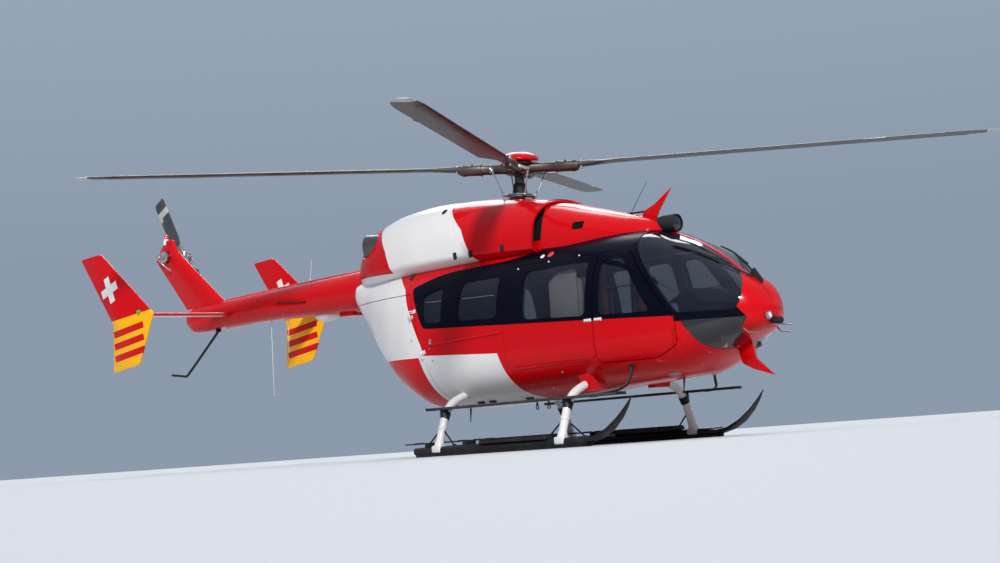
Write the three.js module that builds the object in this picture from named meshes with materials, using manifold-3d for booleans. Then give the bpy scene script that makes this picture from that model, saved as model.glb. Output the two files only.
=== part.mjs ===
// A light twin-engine rescue helicopter on skids, with a hollow cabin, as it parks.
// Millimetres. +X is forward, +Y is to port, +Z is up. Stations along X count from the rotor mast,
// and the floor under the skids is z = 0. The whole aircraft is shifted at the end, so that the
// origin is the middle of its outline on the floor.
import * as THREE from "three";
import { mergeVertices } from "three/addons/utils/BufferGeometryUtils.js";
import Module from "manifold-3d";

const wasm = await Module();
wasm.setup();

// Fits
const SEAT = 0.3; // between pieces that touch
const RUN = 8; // round the edges of a door that swings
const SIDES = { starboard: -1, port: 1 };
const FAR = 3000; // past every skin
const AFT = -8000;
const FORE = 5000;
const OVER = 4000;
const UNDER = -500;

// Pod: the cabin and nose as one lofted body. Each row is one cross-section.
// [x, half width, lowest z, highest z, z of the widest point]
const POD = [
  [3545, 155, 1208, 1388, 1290],
  [3495, 255, 1128, 1492, 1280],
  [3395, 362, 1072, 1612, 1264],
  [3220, 478, 993, 1728, 1235],
  [2940, 658, 822, 1945, 1200],
  [2580, 770, 685, 2150, 1180],
  [2150, 840, 650, 2295, 1170],
  [1650, 872, 622, 2330, 1160],
  [900, 880, 562, 2335, 1160],
  [0, 880, 532, 2335, 1160],
  [-600, 860, 524, 2325, 1190],
  [-1050, 828, 540, 2310, 1270],
  [-1500, 722, 735, 2295, 1420],
  [-1950, 538, 1140, 2280, 1640],
  [-2300, 368, 1545, 2268, 1890],
  [-2550, 268, 1815, 2262, 2090],
];
const POD_WALL = 45;
const POD_ROUND = { up: 2.7, down: 2.6 }; // how square the section is above and below its widest
const POD_COLUMNS = 32;
const LINING_COLUMNS = 20; // the inside of the wall is coarser
const DECK_Z = 2300; // flat deck under the cowlings
const DECK = { x0: -2200, x1: 1500, halfY: 560 };
const NOSE_SEAM = 2960;

// Engine cowling on the roof: [x, half width, lowest z, highest z, z of the widest point]
const COWL = [
  [1100, 600, 2160, 2740, 2250],
  [700, 640, 2150, 2820, 2260],
  [70, 670, 2150, 2915, 2290],
  [-500, 690, 2120, 2965, 2300],
  [-1000, 690, 2100, 2980, 2300],
  [-1500, 650, 2080, 2945, 2290],
  [-1930, 560, 2060, 2850, 2280],
  [-2200, 440, 2060, 2730, 2270],
  [-2390, 310, 2080, 2580, 2260],
];
// Front fairing of the roof, which stands inside the cowling's mouth; same columns
const FAIRING = [
  [2230, 60, 2180, 2350, 2200],
  [2110, 240, 2180, 2420, 2200],
  [1700, 410, 2180, 2535, 2220],
  [1200, 510, 2160, 2670, 2230],
  [780, 550, 2150, 2775, 2240],
  [640, 550, 2150, 2790, 2240],
];
const COWL_WALL = 22;
const COWL_ROUND = { up: 2.5, down: 2.2 };
const COWL_COLUMNS = 24;
const MOUTH_X = 780; // front edge of the engine cowling: the air intake
const REAR_SEAM = { x: -325, slope: 0.66, z: 2500 }; // leans: x falls as z rises
const MAST_HOLE_R = 150;
const VENT = { x0: 1250, x1: 1395, z0: 2395, z1: 2480, corner: 20 };

// Tail boom and the cover of its drive shaft, in the same columns
const BOOM = [
  [-2300, 285, 1840, 2375, 2120],
  [-3400, 250, 1875, 2335, 2115],
  [-4500, 208, 1905, 2290, 2110],
  [-5400, 165, 1905, 2255, 2095],
  [-5800, 130, 1880, 2240, 2080],
  [-6040, 95, 1890, 2220, 2065],
  [-6190, 50, 1970, 2175, 2070],
];
const SHAFT_COVER = [
  [-2390, 90, 2150, 2395, 2290],
  [-3400, 84, 2150, 2362, 2260],
  [-4500, 76, 2120, 2317, 2220],
  [-5360, 66, 2100, 2278, 2190],
];
const BOOM_WALL = 18;
const BOOM_ROUND = { up: 2.3, down: 2.3 };
const BOOM_COLUMNS = 20;

// Side outlines as [x, z] points, round the corners by the radius.
const PILOT_DOOR = {
  outline: [
    [1800, 880],
    [2520, 880],
    [2786, 1000],
    [2786, 1260],
    [2200, 2060],
    [1800, 2075],
  ],
  corner: 60,
};
const PILOT_WINDOW = {
  outline: [
    [1870, 1390],
    [2520, 1370],
    [2140, 1985],
    [1870, 1990],
  ],
  corner: 60,
};
const CABIN_DOOR = {
  outline: [
    [480, 925],
    [1784, 935],
    [1784, 2075],
    [480, 2060],
  ],
  corner: 60,
};
const CABIN_WINDOW = {
  outline: [
    [770, 1440],
    [1690, 1400],
    [1690, 1995],
    [770, 1975],
  ],
  corner: 70,
};
const SIDE_WINDOW = {
  outline: [
    [-240, 1520],
    [380, 1490],
    [380, 1970],
    [-210, 1950],
  ],
  corner: 70,
};
const QUARTER_WINDOW = {
  outline: [
    [-800, 1540],
    [-520, 1525],
    [-520, 1935],
    [-850, 1890],
  ],
  corner: 70,
};
const REAR_GLASS = { x0: -900, x1: 440, y: 300, z0: 1470, z1: 2020 };
const GLASS_THICK = 6;
const GLASS_SET = 18; // how far a pane lies under the skin

// Glass of the nose, seen from the side
const WINDSCREEN = {
  outline: [
    [3258, 1695],
    [3398, 1575],
    [3405, 1400],
    [3345, 1312],
    [2800, 1325],
    [2270, 2075],
    [2180, 2270],
    [2560, 2400],
  ],
  corner: 40,
};
const CHIN_WINDOW = {
  outline: [
    [2838, 1245],
    [3450, 1232],
    [3310, 1045],
    [3090, 910],
    [3015, 945],
    [2935, 1085],
  ],
  corner: 30,
};
const POST_HALF = 30; // centre post of the windscreen
const DEFLECTOR = {
  half: 16,
  outline: [
    [3265, 1680],
    [3346, 1757],
    [3450, 1612],
    [3405, 1530],
  ],
};

// Rear clamshell doors: their hinge line leans
const CLAM = { seamTop: [-1100, 1930], seamFoot: [-640, 560], top: 1905, foot: 560, splitHalf: 4 };

// Hinges: offset is how far the knuckle's middle stands off the skin
const HINGE = { knuckle: 9, offset: 14, length: 50, strap: 62, depth: 42 };
const PILOT_HINGES = [1026, 1128];
const CLAM_HINGES = [1150, 1640];
const PILOT_HINGE_X = 2790;

// Main rotor, on its tilted mast
const HUB = new THREE.Vector3(100, 0, 3270);
const MAST_TILT = THREE.MathUtils.degToRad(3);
const ROTOR_RADIUS = 5500;
const BLADE_ANGLES = { blade_1: 32, blade_2: 122, blade_3: 212, blade_4: 302 };
const BLADE = { rootX: 700, neckX: 1150, chord: 325, thick: 38, cone: 1.6 };
const MAST = { low: -487, neck: -70, r0: 62, r1: 55 };
const STAR = { r: 150, half: 80, armFrom: 60, armTo: 430, armR0: 75, armR1: 58, gripR: 66 };
const SWASH = { z: -318, half: 18, r: 150, earR: 196 };
const LINK = { r: 11, hornX: 330, hornAngle: 28, hornZ: -35, hornR: 24 };
const ABSORBER = { x: 648, r: 26, half: 64 }; // weights over and under each blade's root
const DOME = [
  [0, 80],
  [225, 80],
  [235, 100],
  [215, 135],
  [150, 170],
  [0, 190],
]; // [radius, z over the hub]

// Tail rotor, on the port side of the fin
const TAIL_ROTOR = { x: -6550, z: 2980, y: 260, radius: 980, chord: 220, thick: 20, turn: 118 };
const TAIL_HUB = { r: 45, yoke: 52, half: 80, slider: 78, sliderY: -85 };
const TAIL_GEARBOX = { r: 82, y0: -150, y1: 120, finR: 64 };

// Fin as rows [z, x of the leading edge, x of the trailing edge, thickness]
const FIN = [
  [2215, -5350, -6218, 120],
  [2600, -5824, -6543, 116],
  [2950, -6256, -6840, 110],
  [3060, -6370, -6760, 105],
  [3195, -6440, -6645, 80],
];
const BEACON = { x: -6600, r: 42, z0: 3150, z1: 3235, lampR: 30, lampZ: 3305 };
const STABILISER = { x: -5205, z: 2060, halfSpan: 1470, chord: 385, thick: 52 };
const ENDPLATE = {
  outline: [
    [-5030, 2070],
    [-6090, 2940],
    [-6520, 2910],
    [-5880, 1980],
    [-5930, 1360],
    [-5380, 1430],
  ],
  thick: 30,
};
const BUMPER = { foot: [-5560, 1885], bend: [-6310, 1310], end: [-6630, 1350], r: 17 };

// Landing gear
const SKID = { y: 1150, r: 45, x0: -750, x1: 1880, z: 66, soleHalf: 28, soleTop: 60 };
// Upturned front blade of a skid: [x, z, half width, half thickness]
const SKI = [
  [1700, 66, 38, 34],
  [1860, 60, 80, 30],
  [2020, 92, 96, 20],
  [2180, 168, 84, 15],
  [2320, 278, 60, 12],
  [2420, 385, 34, 10],
  [2492, 482, 7, 7],
];
// Snow plate beside a skid: a ribbed pad and a pointed tail, in [x, distance from the middle plane]
const PAD = {
  z0: 104,
  z1: 160,
  outline: [
    [300, 815],
    [1130, 815],
    [1300, 960],
    [1300, 1215],
    [300, 1215],
  ],
  tail: [
    [-1140, 955],
    [-760, 850],
    [310, 815],
    [310, 1050],
    [-760, 1030],
  ],
  tailZ0: 146,
  ribs: 6,
  ribHalf: 22,
  ribDeep: 22,
  brackets: [-560, 40],
};
// Cross tubes: half of the arch as [y, z]
const CROSSTUBES = { crosstube_front: 1480, crosstube_rear: -385 };
const TUBE = {
  r: 46,
  arch: [
    [1150, 66],
    [1122, 165],
    [1062, 320],
    [1008, 455],
    [925, 556],
    [820, 618],
    [700, 662],
    [580, 695],
  ],
  middle: 700,
};
// Fairing over the root of each front leg, under the belly's edge
const ROOT_FAIRING = { x0: 1360, x1: 1610, y0: 430, y1: 745, z0: 592, z1: 900, slant: 70 };
// Thin stays from each leg to the skid, as steps along X
const STAY = { r: 9, y0: 1070, z0: 318, y1: 1120, z1: 108, steps: { front: [-230], rear: [-215, 225] } };
const STEP = { y: 1010, half: 75, x0: -620, x1: 2250, z: 520, thick: 28, clampHalf: 42 };
const STEP_BRACKET = {
  r: 16,
  route: [
    [2160, 715, 815],
    [2050, 905, 620],
    [1800, 1005, 530],
  ],
};

// Cabin
const FLOOR = { x0: -1150, x1: 2900, half: 800, z: 860, thick: 25 };
// Seats: outlines as [x, height over the floor]
const CREW_SEAT = {
  y: 400,
  half: 185,
  outline: [
    [1560, 140],
    [2040, 160],
    [2080, 340],
    [2040, 385],
    [1700, 360],
    [1565, 1000],
    [1440, 1000],
    [1500, 280],
  ],
  base: { x0: 1620, x1: 1980, half: 120 },
  headrest: { x0: 1440, x1: 1540, half: 115 },
};
const CARE_SEAT = {
  y: 400,
  half: 185,
  outline: [
    [900, 140],
    [1380, 140],
    [1415, 380],
    [1390, 1000],
    [1290, 1000],
    [1260, 390],
    [920, 365],
  ],
  base: { x0: 960, x1: 1300, half: 120 },
  headrest: { x0: 1300, x1: 1395, half: 115 },
};
const HEADREST = { overlap: 30, rise: 150 };
const STRETCHER = { x0: -560, x1: 850, y0: 80, y1: 620, top: 1190 };
const PANEL = {
  half: 420,
  outline: [
    [2560, FLOOR.z + SEAT],
    [2800, FLOOR.z + SEAT],
    [2960, 1400],
    [2760, 1560],
    [2600, 1480],
    [2660, 1150],
  ],
  console: { x0: 1750, x1: 2700, half: 95, z: 1120 },
};

// Masses under the cowlings
const ENGINE = { x0: -1690, x1: -700, y0: 80, y1: 430, z: 2720 };
const GEARBOX = { x0: -280, x1: 400, half: 290, z: 2780 };
const EXHAUST = { from: [-1700, 335, 2570], to: [-2070, 447, 2590], r: 142, wall: 8 };

// Cable cutters and the lamp on the roof
const CUTTER_HALF = 9;
const TOP_CUTTER = [
  [1880, 2430],
  [2065, 2400],
  [2120, 2492],
  [2325, 2745],
  [2075, 2592],
  [1912, 2530],
];
const LOW_CUTTER = [
  [3060, 920],
  [3230, 1010],
  [3290, 790],
  [3515, 605],
  [3240, 690],
  [3100, 760],
];
const LAMP = { x0: 2075, x1: 2375, r: 100, z: 2352, tail: 55 };

/** A closed mesh's geometry as a solid. */
function solidOf(geometry) {
  const plain = geometry.index ? geometry.toNonIndexed() : geometry.clone();
  plain.deleteAttribute("normal");
  plain.deleteAttribute("uv");
  const merged = mergeVertices(plain, 1e-3);
  return new wasm.Manifold(
    new wasm.Mesh({
      numProp: 3,
      vertProperties: merged.attributes.position.array,
      triVerts: new Uint32Array(merged.index.array),
    }),
  );
}

/** A solid as a geometry for a mesh. */
function geometryOf(solid) {
  const mesh = solid.getMesh();
  const stride = mesh.numProp;
  const positions = new Float32Array(mesh.numVert * 3);
  for (let i = 0; i < mesh.numVert; i++)
    positions.set(mesh.vertProperties.subarray(i * stride, i * stride + 3), i * 3);
  const geometry = new THREE.BufferGeometry();
  geometry.setAttribute("position", new THREE.BufferAttribute(positions, 3));
  geometry.setIndex(new THREE.BufferAttribute(mesh.triVerts, 1));
  geometry.computeVertexNormals();
  return geometry;
}

/** The value of one column of a table at x, on a smooth curve through its rows. */
function columnAt(table, column, x) {
  const rows = table[0][0] < table[1][0] ? table : [...table].reverse();
  const last = rows.length - 1;
  let i = rows.findIndex((row) => row[0] > x) - 1;
  if (i < 0) i = x <= rows[0][0] ? 0 : last - 1;
  const secant = (k) => (rows[k + 1][column] - rows[k][column]) / (rows[k + 1][0] - rows[k][0]);
  const slope = (k) => {
    if (k === 0) return secant(0);
    if (k === last) return secant(last - 1);
    const before = secant(k - 1);
    const after = secant(k);
    return before * after <= 0 ? 0 : (2 * before * after) / (before + after);
  };
  const span = rows[i + 1][0] - rows[i][0];
  const t = THREE.MathUtils.clamp((x - rows[i][0]) / span, 0, 1);
  const t2 = t * t;
  const t3 = t2 * t;
  return (
    (2 * t3 - 3 * t2 + 1) * rows[i][column] +
    (t3 - 2 * t2 + t) * span * slope(i) +
    (3 * t2 - 2 * t3) * rows[i + 1][column] +
    (t3 - t2) * span * slope(i + 1)
  );
}

/** One closed ring of a lofted body at x, its outline moved in by inset. */
function ringAt(table, round, x, inset, columns) {
  const half = columnAt(table, 1, x) - inset;
  const low = columnAt(table, 2, x) + inset;
  const high = columnAt(table, 3, x) - inset;
  const wide = columnAt(table, 4, x);
  const ring = [];
  for (let k = 0; k < columns; k++) {
    const angle = (2 * Math.PI * k) / columns;
    const power = 2 / (Math.sin(angle) >= 0 ? round.up : round.down);
    const reach = (value) => Math.sign(value) * Math.abs(value) ** power;
    const rise = reach(Math.sin(angle));
    const z = wide + rise * (rise >= 0 ? high - wide : wide - low);
    ring.push(new THREE.Vector3(x, half * reach(Math.cos(angle)), z));
  }
  return ring;
}

/** A closed body through rings of equal length, capped at both ends. */
function loft(rings) {
  const columns = rings[0].length;
  const positions = [];
  const faces = [];
  rings.forEach((ring) => ring.forEach((p) => positions.push(p.x, p.y, p.z)));
  for (let i = 0; i + 1 < rings.length; i++)
    for (let k = 0; k < columns; k++) {
      const a = i * columns + k;
      const b = i * columns + ((k + 1) % columns);
      faces.push(a, b, a + columns, b, b + columns, a + columns);
    }
  const capped = [
    [0, true],
    [rings.length - 1, false],
  ];
  for (const [i, first] of capped) {
    const centre = rings[i].reduce((sum, p) => sum.add(p), new THREE.Vector3()).divideScalar(columns);
    const tip = positions.length / 3;
    positions.push(centre.x, centre.y, centre.z);
    for (let k = 0; k < columns; k++) {
      const a = i * columns + k;
      const b = i * columns + ((k + 1) % columns);
      faces.push(...(first ? [b, a, tip] : [a, b, tip]));
    }
  }
  const geometry = new THREE.BufferGeometry();
  geometry.setAttribute("position", new THREE.Float32BufferAttribute(positions, 3));
  geometry.setIndex(faces);
  return solidOf(geometry);
}

/** A table's body, moved in by inset on all sides, with its ends trimmed as much. */
function body(table, round, inset, columns) {
  const ends = [table.at(-1)[0] + inset, table[0][0] - inset];
  const inner = table.map((row) => row[0]).reverse();
  const stations = [ends[0], ...inner.filter((x) => x > ends[0] + 10 && x < ends[1] - 10), ends[1]];
  const leastHalf = 20;
  const kept = stations.filter((x) => columnAt(table, 1, x) - inset > leastHalf);
  return loft(kept.map((x) => ringAt(table, round, x, inset, columns)));
}

const pod = (inset) => body(POD, POD_ROUND, inset, POD_COLUMNS);
const lining = (inset) => body(POD, POD_ROUND, inset, LINING_COLUMNS);
const cowl = (inset) => body(COWL, COWL_ROUND, inset, COWL_COLUMNS);
const fairing = (inset) => body(FAIRING, COWL_ROUND, inset, COWL_COLUMNS);
const boom = (inset) => body(BOOM, BOOM_ROUND, inset, BOOM_COLUMNS);

/** A flat shape from [u, v] points with round corners. */
function shapeOf(points, corner = 0) {
  const shape = new THREE.Shape();
  const corners = points.map(([u, v]) => new THREE.Vector2(u, v));
  corners.forEach((point, i) => {
    const before = corners.at(i - 1).clone().sub(point);
    const after = corners[(i + 1) % corners.length].clone().sub(point);
    const start = point.clone().add(before.setLength(Math.min(corner, before.length() / 2.1)));
    const end = point.clone().add(after.setLength(Math.min(corner, after.length() / 2.1)));
    if (i === 0) shape.moveTo(start.x, start.y);
    else shape.lineTo(start.x, start.y);
    if (corner > 0) shape.quadraticCurveTo(point.x, point.y, end.x, end.y);
  });
  shape.closePath();
  return shape;
}

/** The points of an outline moved outwards by a distance, with sharp corners. */
function grown(points, distance) {
  const area = points.reduce((sum, [u, v], i) => {
    const [u2, v2] = points[(i + 1) % points.length];
    return sum + u * v2 - u2 * v;
  }, 0);
  const outward = Math.sign(area);
  const edge = (i) => {
    const [u, v] = points[(i + points.length) % points.length];
    const [u2, v2] = points[(i + 1) % points.length];
    return new THREE.Vector2(v2 - v, u - u2).normalize().multiplyScalar(outward);
  };
  return points.map(([u, v], i) => {
    const before = edge(i - 1);
    const after = edge(i);
    const middle = before.clone().add(after).normalize();
    const reach = distance / middle.dot(after);
    return [u + middle.x * reach, v + middle.y * reach];
  });
}

/** A prism of an XZ outline from y0 to y1. */
function prismXZ({ outline, corner = 0 }, y0, y1, grow = 0) {
  const shape = shapeOf(grown(outline, grow), corner ? corner + grow : 0);
  const options = { depth: y1 - y0, bevelEnabled: false, curveSegments: 4 };
  const geometry = new THREE.ExtrudeGeometry(shape, options);
  geometry.rotateX(Math.PI / 2);
  geometry.translate(0, y1, 0);
  return solidOf(geometry);
}

/** A flat plate of an XY outline from z0 to z1; side mirrors it across the middle plane. */
function plateXY(outline, side, z0, z1) {
  const points = outline.map(([x, y]) => [x, side * y]);
  const options = { depth: z1 - z0, bevelEnabled: false };
  const geometry = new THREE.ExtrudeGeometry(shapeOf(side > 0 ? points : points.reverse()), options);
  geometry.translate(0, 0, z0);
  return solidOf(geometry);
}

/** A box between two corners. */
function block(x0, x1, y0, y1, z0, z1) {
  const geometry = new THREE.BoxGeometry(x1 - x0, y1 - y0, z1 - z0);
  geometry.translate((x0 + x1) / 2, (y0 + y1) / 2, (z0 + z1) / 2);
  return solidOf(geometry);
}

/** A box on one side of the aircraft, y0 and y1 counted outwards from the middle plane. */
const sideBox = (side, x0, x1, y0, y1, z0, z1) =>
  side > 0 ? block(x0, x1, y0, y1, z0, z1) : block(x0, x1, -y1, -y0, z0, z1);

/** A round bar between two points, its ends of one or two radii. */
function bar(from, to, r0, r1 = r0, sides = 16) {
  const along = to.clone().sub(from);
  const geometry = new THREE.CylinderGeometry(r1, r0, along.length(), sides);
  geometry.translate(0, along.length() / 2, 0);
  const turn = new THREE.Quaternion().setFromUnitVectors(new THREE.Vector3(0, 1, 0), along.normalize());
  geometry.applyQuaternion(turn);
  geometry.translate(from.x, from.y, from.z);
  return solidOf(geometry);
}

/** A round tube, filled, along a smooth curve through points. */
function pipe(points, r, steps, sides) {
  const path = new THREE.CatmullRomCurve3(points, false, "centripetal");
  const section = new THREE.Shape();
  section.absarc(0, 0, r, 0, 2 * Math.PI, false);
  const options = { steps, extrudePath: path, bevelEnabled: false, curveSegments: sides / 2 };
  return solidOf(new THREE.ExtrudeGeometry(section, options));
}

/** A solid of revolution about +Z from [radius, z] points. */
function turned(profile, sides) {
  const geometry = new THREE.LatheGeometry(
    profile.map(([r, z]) => new THREE.Vector2(r, z)),
    sides,
  );
  geometry.rotateX(Math.PI / 2);
  return geometry;
}

const V = (x, y, z) => new THREE.Vector3(x, y, z);

/** The biggest body of a solid: cuts along a curved wall leave crumbs. */
const biggest = (solid) => solid.decompose().sort((a, b) => b.volume() - a.volume())[0];

/** The half space of one side of the aircraft, as a big block from inner outwards. */
const sideBlock = (side, inner) => sideBox(side, AFT, FORE, inner, FAR, UNDER, OVER);

/** A prism of a side outline on one side of the aircraft, clear of the middle plane. */
function sidePrism(part, side, grow = 0) {
  const inner = 200;
  return side > 0 ? prismXZ(part, inner, FAR, grow) : prismXZ(part, -FAR, -inner, grow);
}

/**
 * One hinge's two halves about an axis. toDoor and inward are unit vectors square to the axis:
 * towards the door's leaf, and towards the middle of the aircraft.
 */
function hinge(point, axis, toDoor, inward) {
  const third = axis.clone().cross(toDoor);
  const depth = HINGE.depth * Math.sign(third.dot(inward));
  const basis = new THREE.Matrix4().makeBasis(axis, toDoor, third);
  const strap = (start, towards) => {
    const geometry = new THREE.BoxGeometry(HINGE.length, HINGE.strap, HINGE.depth);
    geometry.translate(start, (towards * HINGE.strap) / 2, depth / 2);
    geometry.applyMatrix4(basis);
    geometry.translate(point.x, point.y, point.z);
    return solidOf(geometry);
  };
  const half = (start, towards) => {
    const middle = V(start, 0, 0).applyMatrix4(basis).add(point);
    const reach = axis.clone().multiplyScalar(HINGE.length / 2);
    const knuckle = bar(middle.clone().sub(reach), middle.clone().add(reach), HINGE.knuckle, HINGE.knuckle, 12);
    return knuckle.add(strap(start, towards));
  };
  return { leaf: half(0, 1), frame: half(HINGE.length + SEAT, -1) };
}

/** A wing's section as [along the chord, across it], traced anticlockwise; trailing edge at -u. */
function wingSection(chord, thick) {
  const points = [
    [0.27, 0],
    [0.22, 0.62],
    [0.05, 1],
    [-0.3, 0.6],
    [-0.73, 0.08],
    [-0.73, -0.08],
    [-0.3, -0.3],
    [0.05, -0.5],
    [0.22, -0.4],
  ];
  const scale = 2 / 3; // the points are 1.5 thicknesses deep
  return points.map(([u, v]) => [u * chord, v * thick * scale]);
}

/** The same for a fin: even on both sides. */
function finSection(chord, thick) {
  const half = [
    [0.27, 0],
    [0.2, 0.4],
    [0.02, 0.5],
    [-0.33, 0.3],
    [-0.73, 0.04],
  ];
  const under = half.slice(1).reverse();
  return [...half, ...under.map(([u, v]) => [u, -v])].map(([u, v]) => [u * chord, v * thick]);
}

const PAINT = {
  red: { color: 0xc4161c, roughness: 0.25, metalness: 0.1 },
  white: { color: 0xe6e4e0, roughness: 0.3, metalness: 0.05 },
  black: { color: 0x16181b, roughness: 0.5, metalness: 0.1 },
  grey: { color: 0x56595c, roughness: 0.6, metalness: 0.4 },
  steel: { color: 0x8d8f92, roughness: 0.35, metalness: 0.9 },
  glass: { color: 0x141c26, roughness: 0.05, metalness: 0.1 },
  yellow: { color: 0xe3b322, roughness: 0.3, metalness: 0.05 },
  fabric: { color: 0x8c1f24, roughness: 0.9, metalness: 0 },
};

const aircraft = new THREE.Group();

/** Adds one named piece to the aircraft or to a group of it. */
function add(name, solid, paint, parent = aircraft) {
  const mesh = new THREE.Mesh(geometryOf(biggest(solid)), new THREE.MeshStandardMaterial(PAINT[paint]));
  mesh.name = name;
  parent.add(mesh);
  return mesh;
}

// Bodies that more than one piece is cut from or by
const skin = pod(0);
const skinFit = pod(-SEAT);
const room = lining(POD_WALL);
const roomFit = lining(POD_WALL + SEAT);
const boomSolid = boom(0);
const boomFit = boom(-SEAT);
const halfWidthAt = (x) => columnAt(POD, 1, x);
const isSide = Object.entries(SIDES);

/** A cross tube's arch at station x, of radius r. */
function archAt(x, r) {
  const legs = TUBE.arch.map(([y, z]) => V(x, y, z));
  const mirrored = TUBE.arch.map(([y, z]) => V(x, -y, z)).reverse();
  return pipe([...legs, V(x, 0, TUBE.middle), ...mirrored], r, 36, 10);
}
const arches = {};
const archHoles = {};
for (const [name, x] of Object.entries(CROSSTUBES)) {
  arches[name] = archAt(x, TUBE.r);
  archHoles[name] = archAt(x, TUBE.r + 2 * SEAT);
}

/** A solid with room cut in it for both cross tubes. */
const clearOfArches = (solid) =>
  Object.values(archHoles).reduce((left, hole) => left.subtract(hole), solid);

/** Everything aft of the clamshell doors' leaning hinge line, grown forwards. */
function clamRegion(grow) {
  const [topX, topZ] = CLAM.seamTop;
  const [footX, footZ] = CLAM.seamFoot;
  const lean = (footX - topX) / (topZ - footZ);
  const at = (z) => topX + (topZ - z) * lean + grow;
  const low = CLAM.foot - grow - 200;
  const outline = [
    [at(low), low],
    [at(CLAM.top + grow), CLAM.top + grow],
    [-4000, CLAM.top + grow],
    [-4000, low],
  ];
  return prismXZ({ outline }, -FAR, FAR);
}

/** The pilot's door of one side and the halves of its hinges that stay on the frame. */
function pilotDoor(side) {
  let leaf = skin.subtract(room).intersect(sidePrism(PILOT_DOOR, side));
  leaf = leaf.subtract(sidePrism(PILOT_WINDOW, side));
  const frames = [];
  for (const z of PILOT_HINGES) {
    const y = side * (halfWidthAt(PILOT_HINGE_X - 20) + HINGE.offset);
    const made = hinge(V(PILOT_HINGE_X, y, z), V(0, 0, 1), V(-1, 0, 0), V(0, -side, 0));
    leaf = leaf.add(made.leaf);
    frames.push(made.frame);
  }
  return { leaf, frames };
}

/** The clamshell door of one side, cut from the rear shell, and its hinges' frame halves. */
function clamDoor(side, rearShell) {
  const [topX, topZ] = CLAM.seamTop;
  const [footX, footZ] = CLAM.seamFoot;
  const axis = V(topX - footX, 0, topZ - footZ).normalize();
  const toDoor = V(-axis.z, 0, axis.x);
  let leaf = rearShell.intersect(sideBlock(side, CLAM.splitHalf));
  const frames = [];
  for (const z of CLAM_HINGES) {
    const x = footX + ((topX - footX) * (z - footZ)) / (topZ - footZ) + RUN / 2;
    const point = V(x, side * (halfWidthAt(footX) + HINGE.offset), z);
    const made = hinge(point, axis, toDoor, V(0, -side, 0));
    leaf = leaf.add(made.leaf);
    frames.push(made.frame);
  }
  return { leaf, frames };
}

/** The tapered fairing over the root of one front leg. */
function rootFairing(side) {
  const { x0, x1, y0, y1, z0, z1, slant } = ROOT_FAIRING;
  const ring = (z, inset) => [
    V(x0 + inset, side * y0, z),
    V(x1 - inset, side * y0, z),
    V(x1 - inset, side * (y1 - inset), z),
    V(x0 + inset, side * (y1 - inset), z),
  ];
  const order = (points) => (side > 0 ? points : points.reverse());
  return loft([order(ring(z0, slant)), order(ring(z1, 0))]);
}

/** The pod's shell with its doors: nose, cabin frame, pilots' doors, sliding doors, clamshells. */
function makePod() {
  const deckCut = block(DECK.x0, DECK.x1, -DECK.halfY, DECK.halfY, DECK_Z, OVER);
  const whole = skin.subtract(room).subtract(deckCut).subtract(boomFit);
  const rearShell = whole.intersect(clamRegion(0).subtract(boom(-RUN)));
  let shell = whole.subtract(clamRegion(RUN));
  const leaves = {};
  const frames = [];
  for (const [sideName, side] of isSide) {
    const pilot = pilotDoor(side);
    const clam = clamDoor(side, rearShell);
    const slide = skin.subtract(room).intersect(sidePrism(CABIN_DOOR, side));
    leaves["pilot_door_" + sideName] = pilot.leaf;
    leaves["cabin_door_" + sideName] = slide.subtract(sidePrism(CABIN_WINDOW, side));
    leaves["clamshell_door_" + sideName] = clam.leaf;
    frames.push(...pilot.frames, ...clam.frames);
    const halfScreen = sideBlock(side, POST_HALF).intersect(prismXZ(WINDSCREEN, -FAR, FAR));
    shell = shell.subtract(sidePrism(PILOT_DOOR, side, RUN));
    shell = shell.subtract(sidePrism(CABIN_DOOR, side, SEAT));
    shell = shell.subtract(sidePrism(SIDE_WINDOW, side));
    shell = shell.subtract(sidePrism(QUARTER_WINDOW, side));
    shell = shell.subtract(sidePrism(CHIN_WINDOW, side));
    shell = shell.subtract(halfScreen);
  }
  for (const frame of frames) shell = shell.add(frame);
  for (const [, side] of isSide) shell = shell.add(rootFairing(side).subtract(room));
  for (const leaf of Object.values(leaves)) shell = shell.subtract(leaf.subtract(skin));
  shell = clearOfArches(shell);
  const deflector = prismXZ(DEFLECTOR, -DEFLECTOR.half, DEFLECTOR.half).subtract(room);
  const nose = shell.intersect(block(NOSE_SEAM + SEAT, FORE, -FAR, FAR, UNDER, OVER));
  add("nose_shell", nose.add(deflector), "red");
  add("cabin_shell", shell.intersect(block(AFT, NOSE_SEAM, -FAR, FAR, UNDER, OVER)), "red");
  for (const [name, leaf] of Object.entries(leaves)) {
    add(name, leaf, name.startsWith("clamshell") ? "white" : "red");
  }
}

/** The panes, each set under the skin in its frame. */
function makeGlass() {
  const pane = pod(GLASS_SET).subtract(pod(GLASS_SET + GLASS_THICK));
  const innerPane = roomFit.subtract(lining(POD_WALL + SEAT + GLASS_THICK));
  for (const [sideName, side] of isSide) {
    const halfPane = pane.intersect(sideBlock(side, POST_HALF + SEAT));
    const rear = sideBox(side, REAR_GLASS.x0, REAR_GLASS.x1, REAR_GLASS.y, FAR, REAR_GLASS.z0, REAR_GLASS.z1);
    add("windscreen_" + sideName, halfPane.intersect(prismXZ(WINDSCREEN, -FAR, FAR, -SEAT)), "glass");
    add("chin_window_" + sideName, pane.intersect(sidePrism(CHIN_WINDOW, side, -SEAT)), "glass");
    add("pilot_glass_" + sideName, pane.intersect(sidePrism(PILOT_WINDOW, side, -SEAT)), "glass");
    add("cabin_glass_" + sideName, pane.intersect(sidePrism(CABIN_WINDOW, side, -SEAT)), "glass");
    add("rear_glass_" + sideName, innerPane.intersect(rear), "glass");
  }
}

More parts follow.
